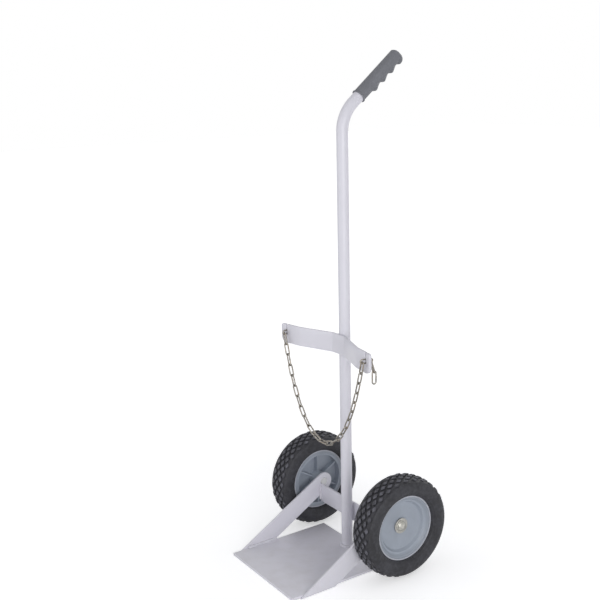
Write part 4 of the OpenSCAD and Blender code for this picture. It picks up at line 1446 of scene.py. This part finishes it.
class TROLLEY_OT_stage(Operator):
    """Set the pale floor, the soft lights and the camera"""

    bl_idname = "trolley.stage"
    bl_label = "Stage"

    # The camera's place, the way it looks, its level axis, its roll and its lens
    EYE, AHEAD = (1.4025, -0.90525, 0.9202), (-0.810565, 0.539323, -0.228288)
    HEADING, ROLL = math.radians(56.36), math.radians(-1.34)
    LENS, SENSOR = 56.73, 36.0
    # The rays that see the floor and the world white
    SEEN_BY = ("Is Camera Ray", "Is Glossy Ray", "Is Transmission Ray")
    # The floor: half its size, its drop below the wheels, its colours and its roughness
    FLOOR_HALF, FLOOR_DROP, FLOOR_ROUGH = 12.0, 0.4 * MM, 0.9
    FLOOR_COLOUR = (0.86, 0.86, 0.87)
    FLOOR_DARK, FLOOR_PALE = (0.85, 0.85, 0.86), (0.87, 0.87, 0.88)
    # How much the floor is lifted to white: from near to far, and from least to most
    LIFT = (0.3, 2.2, 0.47, 0.73)
    WORLD_COLOUR, WORLD_STRENGTH = (0.97, 0.98, 1.0, 1.0), 0.43
    # Each lamp's place, size and power, and where all of them point
    LAMPS = {
        "key_light": ((2.7, -1.0, 0.7), 1.8, 39),
        "top_light": ((0.3, -0.8, 2.8), 1.8, 1.5),
        "fill_light": ((-0.9, -2.5, 0.9), 2.0, 13),
        "back_light": ((-0.6, 2.5, 1.5), 2.0, 12),
    }
    LAMP_AIM = (0, 0.1, 0.45)

    def execute(self, context):
        scene = context.scene
        scene.view_settings.view_transform = "Standard"
        self.camera(scene)
        self.floor(scene)
        self.world(scene)
        for name, (place, size, power) in self.LAMPS.items():
            self.lamp(scene, name, place, size, power)
        return {"FINISHED"}

    def camera(self, scene):
        """The main view: place, heading, roll and lens."""
        camera = bpy.data.objects.new("camera", bpy.data.cameras.new("camera"))
        scene.collection.objects.link(camera)
        ahead = Vector(self.AHEAD).normalized()
        level = Vector((math.cos(self.HEADING), math.sin(self.HEADING), 0))
        above = level.cross(ahead).normalized()
        right = level * math.cos(self.ROLL) + above * math.sin(self.ROLL)
        up = above * math.cos(self.ROLL) - level * math.sin(self.ROLL)
        turn = Matrix((right, up, -ahead)).transposed().to_4x4()
        camera.matrix_world = Matrix.Translation(self.EYE) @ turn
        camera.data.sensor_width = self.SENSOR
        camera.data.lens = self.LENS
        scene.camera = camera

    def seen_white(self, tree):
        """1 for the rays that see the floor and the world white, and 0 for all others."""
        rays = tree.nodes.new("ShaderNodeLightPath").outputs
        seen = rays[self.SEEN_BY[0]]
        for name in self.SEEN_BY[1:]:
            either = tree.nodes.new("ShaderNodeMath")
            either.operation = "MAXIMUM"
            tree.links.new(seen, either.inputs[0])
            tree.links.new(rays[name], either.inputs[1])
            seen = either.outputs[0]
        return seen

    def floor(self, scene):
        """A wide pale floor that shows white to the camera and keeps the soft shadow."""
        bm = bmesh.new()
        bmesh.ops.create_grid(bm, x_segments=1, y_segments=1, size=self.FLOOR_HALF)
        mesh = bpy.data.meshes.new("floor")
        bm.to_mesh(mesh)
        bm.free()
        floor = bpy.data.objects.new("floor", mesh)
        floor.location.z = -self.FLOOR_DROP
        scene.collection.objects.link(floor)
        pale = Finish("pale_floor", self.FLOOR_COLOUR, self.FLOOR_ROUGH)
        away = pale.node("VectorMath", {0: pale.place}, operation="LENGTH").outputs["Value"]
        seen = self.seen_white(pale.tree)
        pale.set("Base Color", pale.mix(pale.noise(3, 2), self.FLOOR_DARK, self.FLOOR_PALE))
        pale.set("Emission Color", (1, 1, 1, 1))
        pale.set("Emission Strength", pale.maths("MULTIPLY", pale.span(away, *self.LIFT), seen))
        mesh.materials.append(pale.material)

    def world(self, scene):
        """An even light that is white where the camera or a reflection sees it."""
        world = bpy.data.worlds.new("studio")
        world.use_nodes = True
        tree = world.node_tree
        light = tree.nodes["Background"]
        light.inputs["Color"].default_value = self.WORLD_COLOUR
        light.inputs["Strength"].default_value = self.WORLD_STRENGTH
        white = tree.nodes.new("ShaderNodeBackground")
        white.inputs["Color"].default_value = (1, 1, 1, 1)
        mix = tree.nodes.new("ShaderNodeMixShader")
        shown = (self.seen_white(tree), light.outputs[0], white.outputs[0])
        for i, output in enumerate(shown):
            tree.links.new(output, mix.inputs[i])
        tree.links.new(mix.outputs[0], tree.nodes["World Output"].inputs["Surface"])
        scene.world = world

    def lamp(self, scene, name, place, size, power):
        """A soft square lamp that points at the trolley's middle."""
        data = bpy.data.lights.new(name, "AREA")
        data.shape = "SQUARE"
        data.size = size
        data.energy = power
        lamp = bpy.data.objects.new(name, data)
        lamp.location = place
        aim = Vector(self.LAMP_AIM) - Vector(place)
        lamp.rotation_euler = aim.to_track_quat("-Z", "Y").to_euler()
        scene.collection.objects.link(lamp)


PIECE_OPERATORS = (
    TROLLEY_OT_upright,
    TROLLEY_OT_grip,
    TROLLEY_OT_toe_plate,
    TROLLEY_OT_bars,
    TROLLEY_OT_saddle,
    TROLLEY_OT_welds,
    TROLLEY_OT_axles,
    TROLLEY_OT_hubs,
    TROLLEY_OT_tyres,
    TROLLEY_OT_chain,
)


class VIEW3D_PT_trolley(Panel):
    """Lists the trolley's pieces and its stage."""

    bl_label = "Trolley"
    bl_idname = "VIEW3D_PT_trolley"
    bl_space_type = "VIEW_3D"
    bl_region_type = "UI"
    bl_category = "Trolley"

    def draw(self, context):
        column = self.layout.column()
        for operator in (TROLLEY_OT_stage, *PIECE_OPERATORS):
            column.operator(operator.bl_idname)


GROUPS = {
    "trolley_frame": TrolleyFrameSizes,
    "trolley_wheels": TrolleyWheelSizes,
    "trolley_chain": TrolleyChainSizes,
    "trolley_colours": TrolleyColours,
}
CLASSES = (*GROUPS.values(), TROLLEY_OT_stage, *PIECE_OPERATORS, VIEW3D_PT_trolley)


def register():
    """Registers the classes and hangs the sizes and colours on the scene."""
    for cls in CLASSES:
        bpy.utils.register_class(cls)
    for name, group in GROUPS.items():
        setattr(bpy.types.Scene, name, PointerProperty(type=group))


def unregister():
    """Takes the sizes, colours and classes off again."""
    for name in GROUPS:
        delattr(bpy.types.Scene, name)
    for cls in reversed(CLASSES):
        bpy.utils.unregister_class(cls)


def main():
    """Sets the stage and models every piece."""
    register()
    bpy.ops.trolley.stage()
    for operator in PIECE_OPERATORS:
        getattr(bpy.ops.trolley, operator.bl_idname.split(".")[1])()


if __name__ == "__main__":
    main()
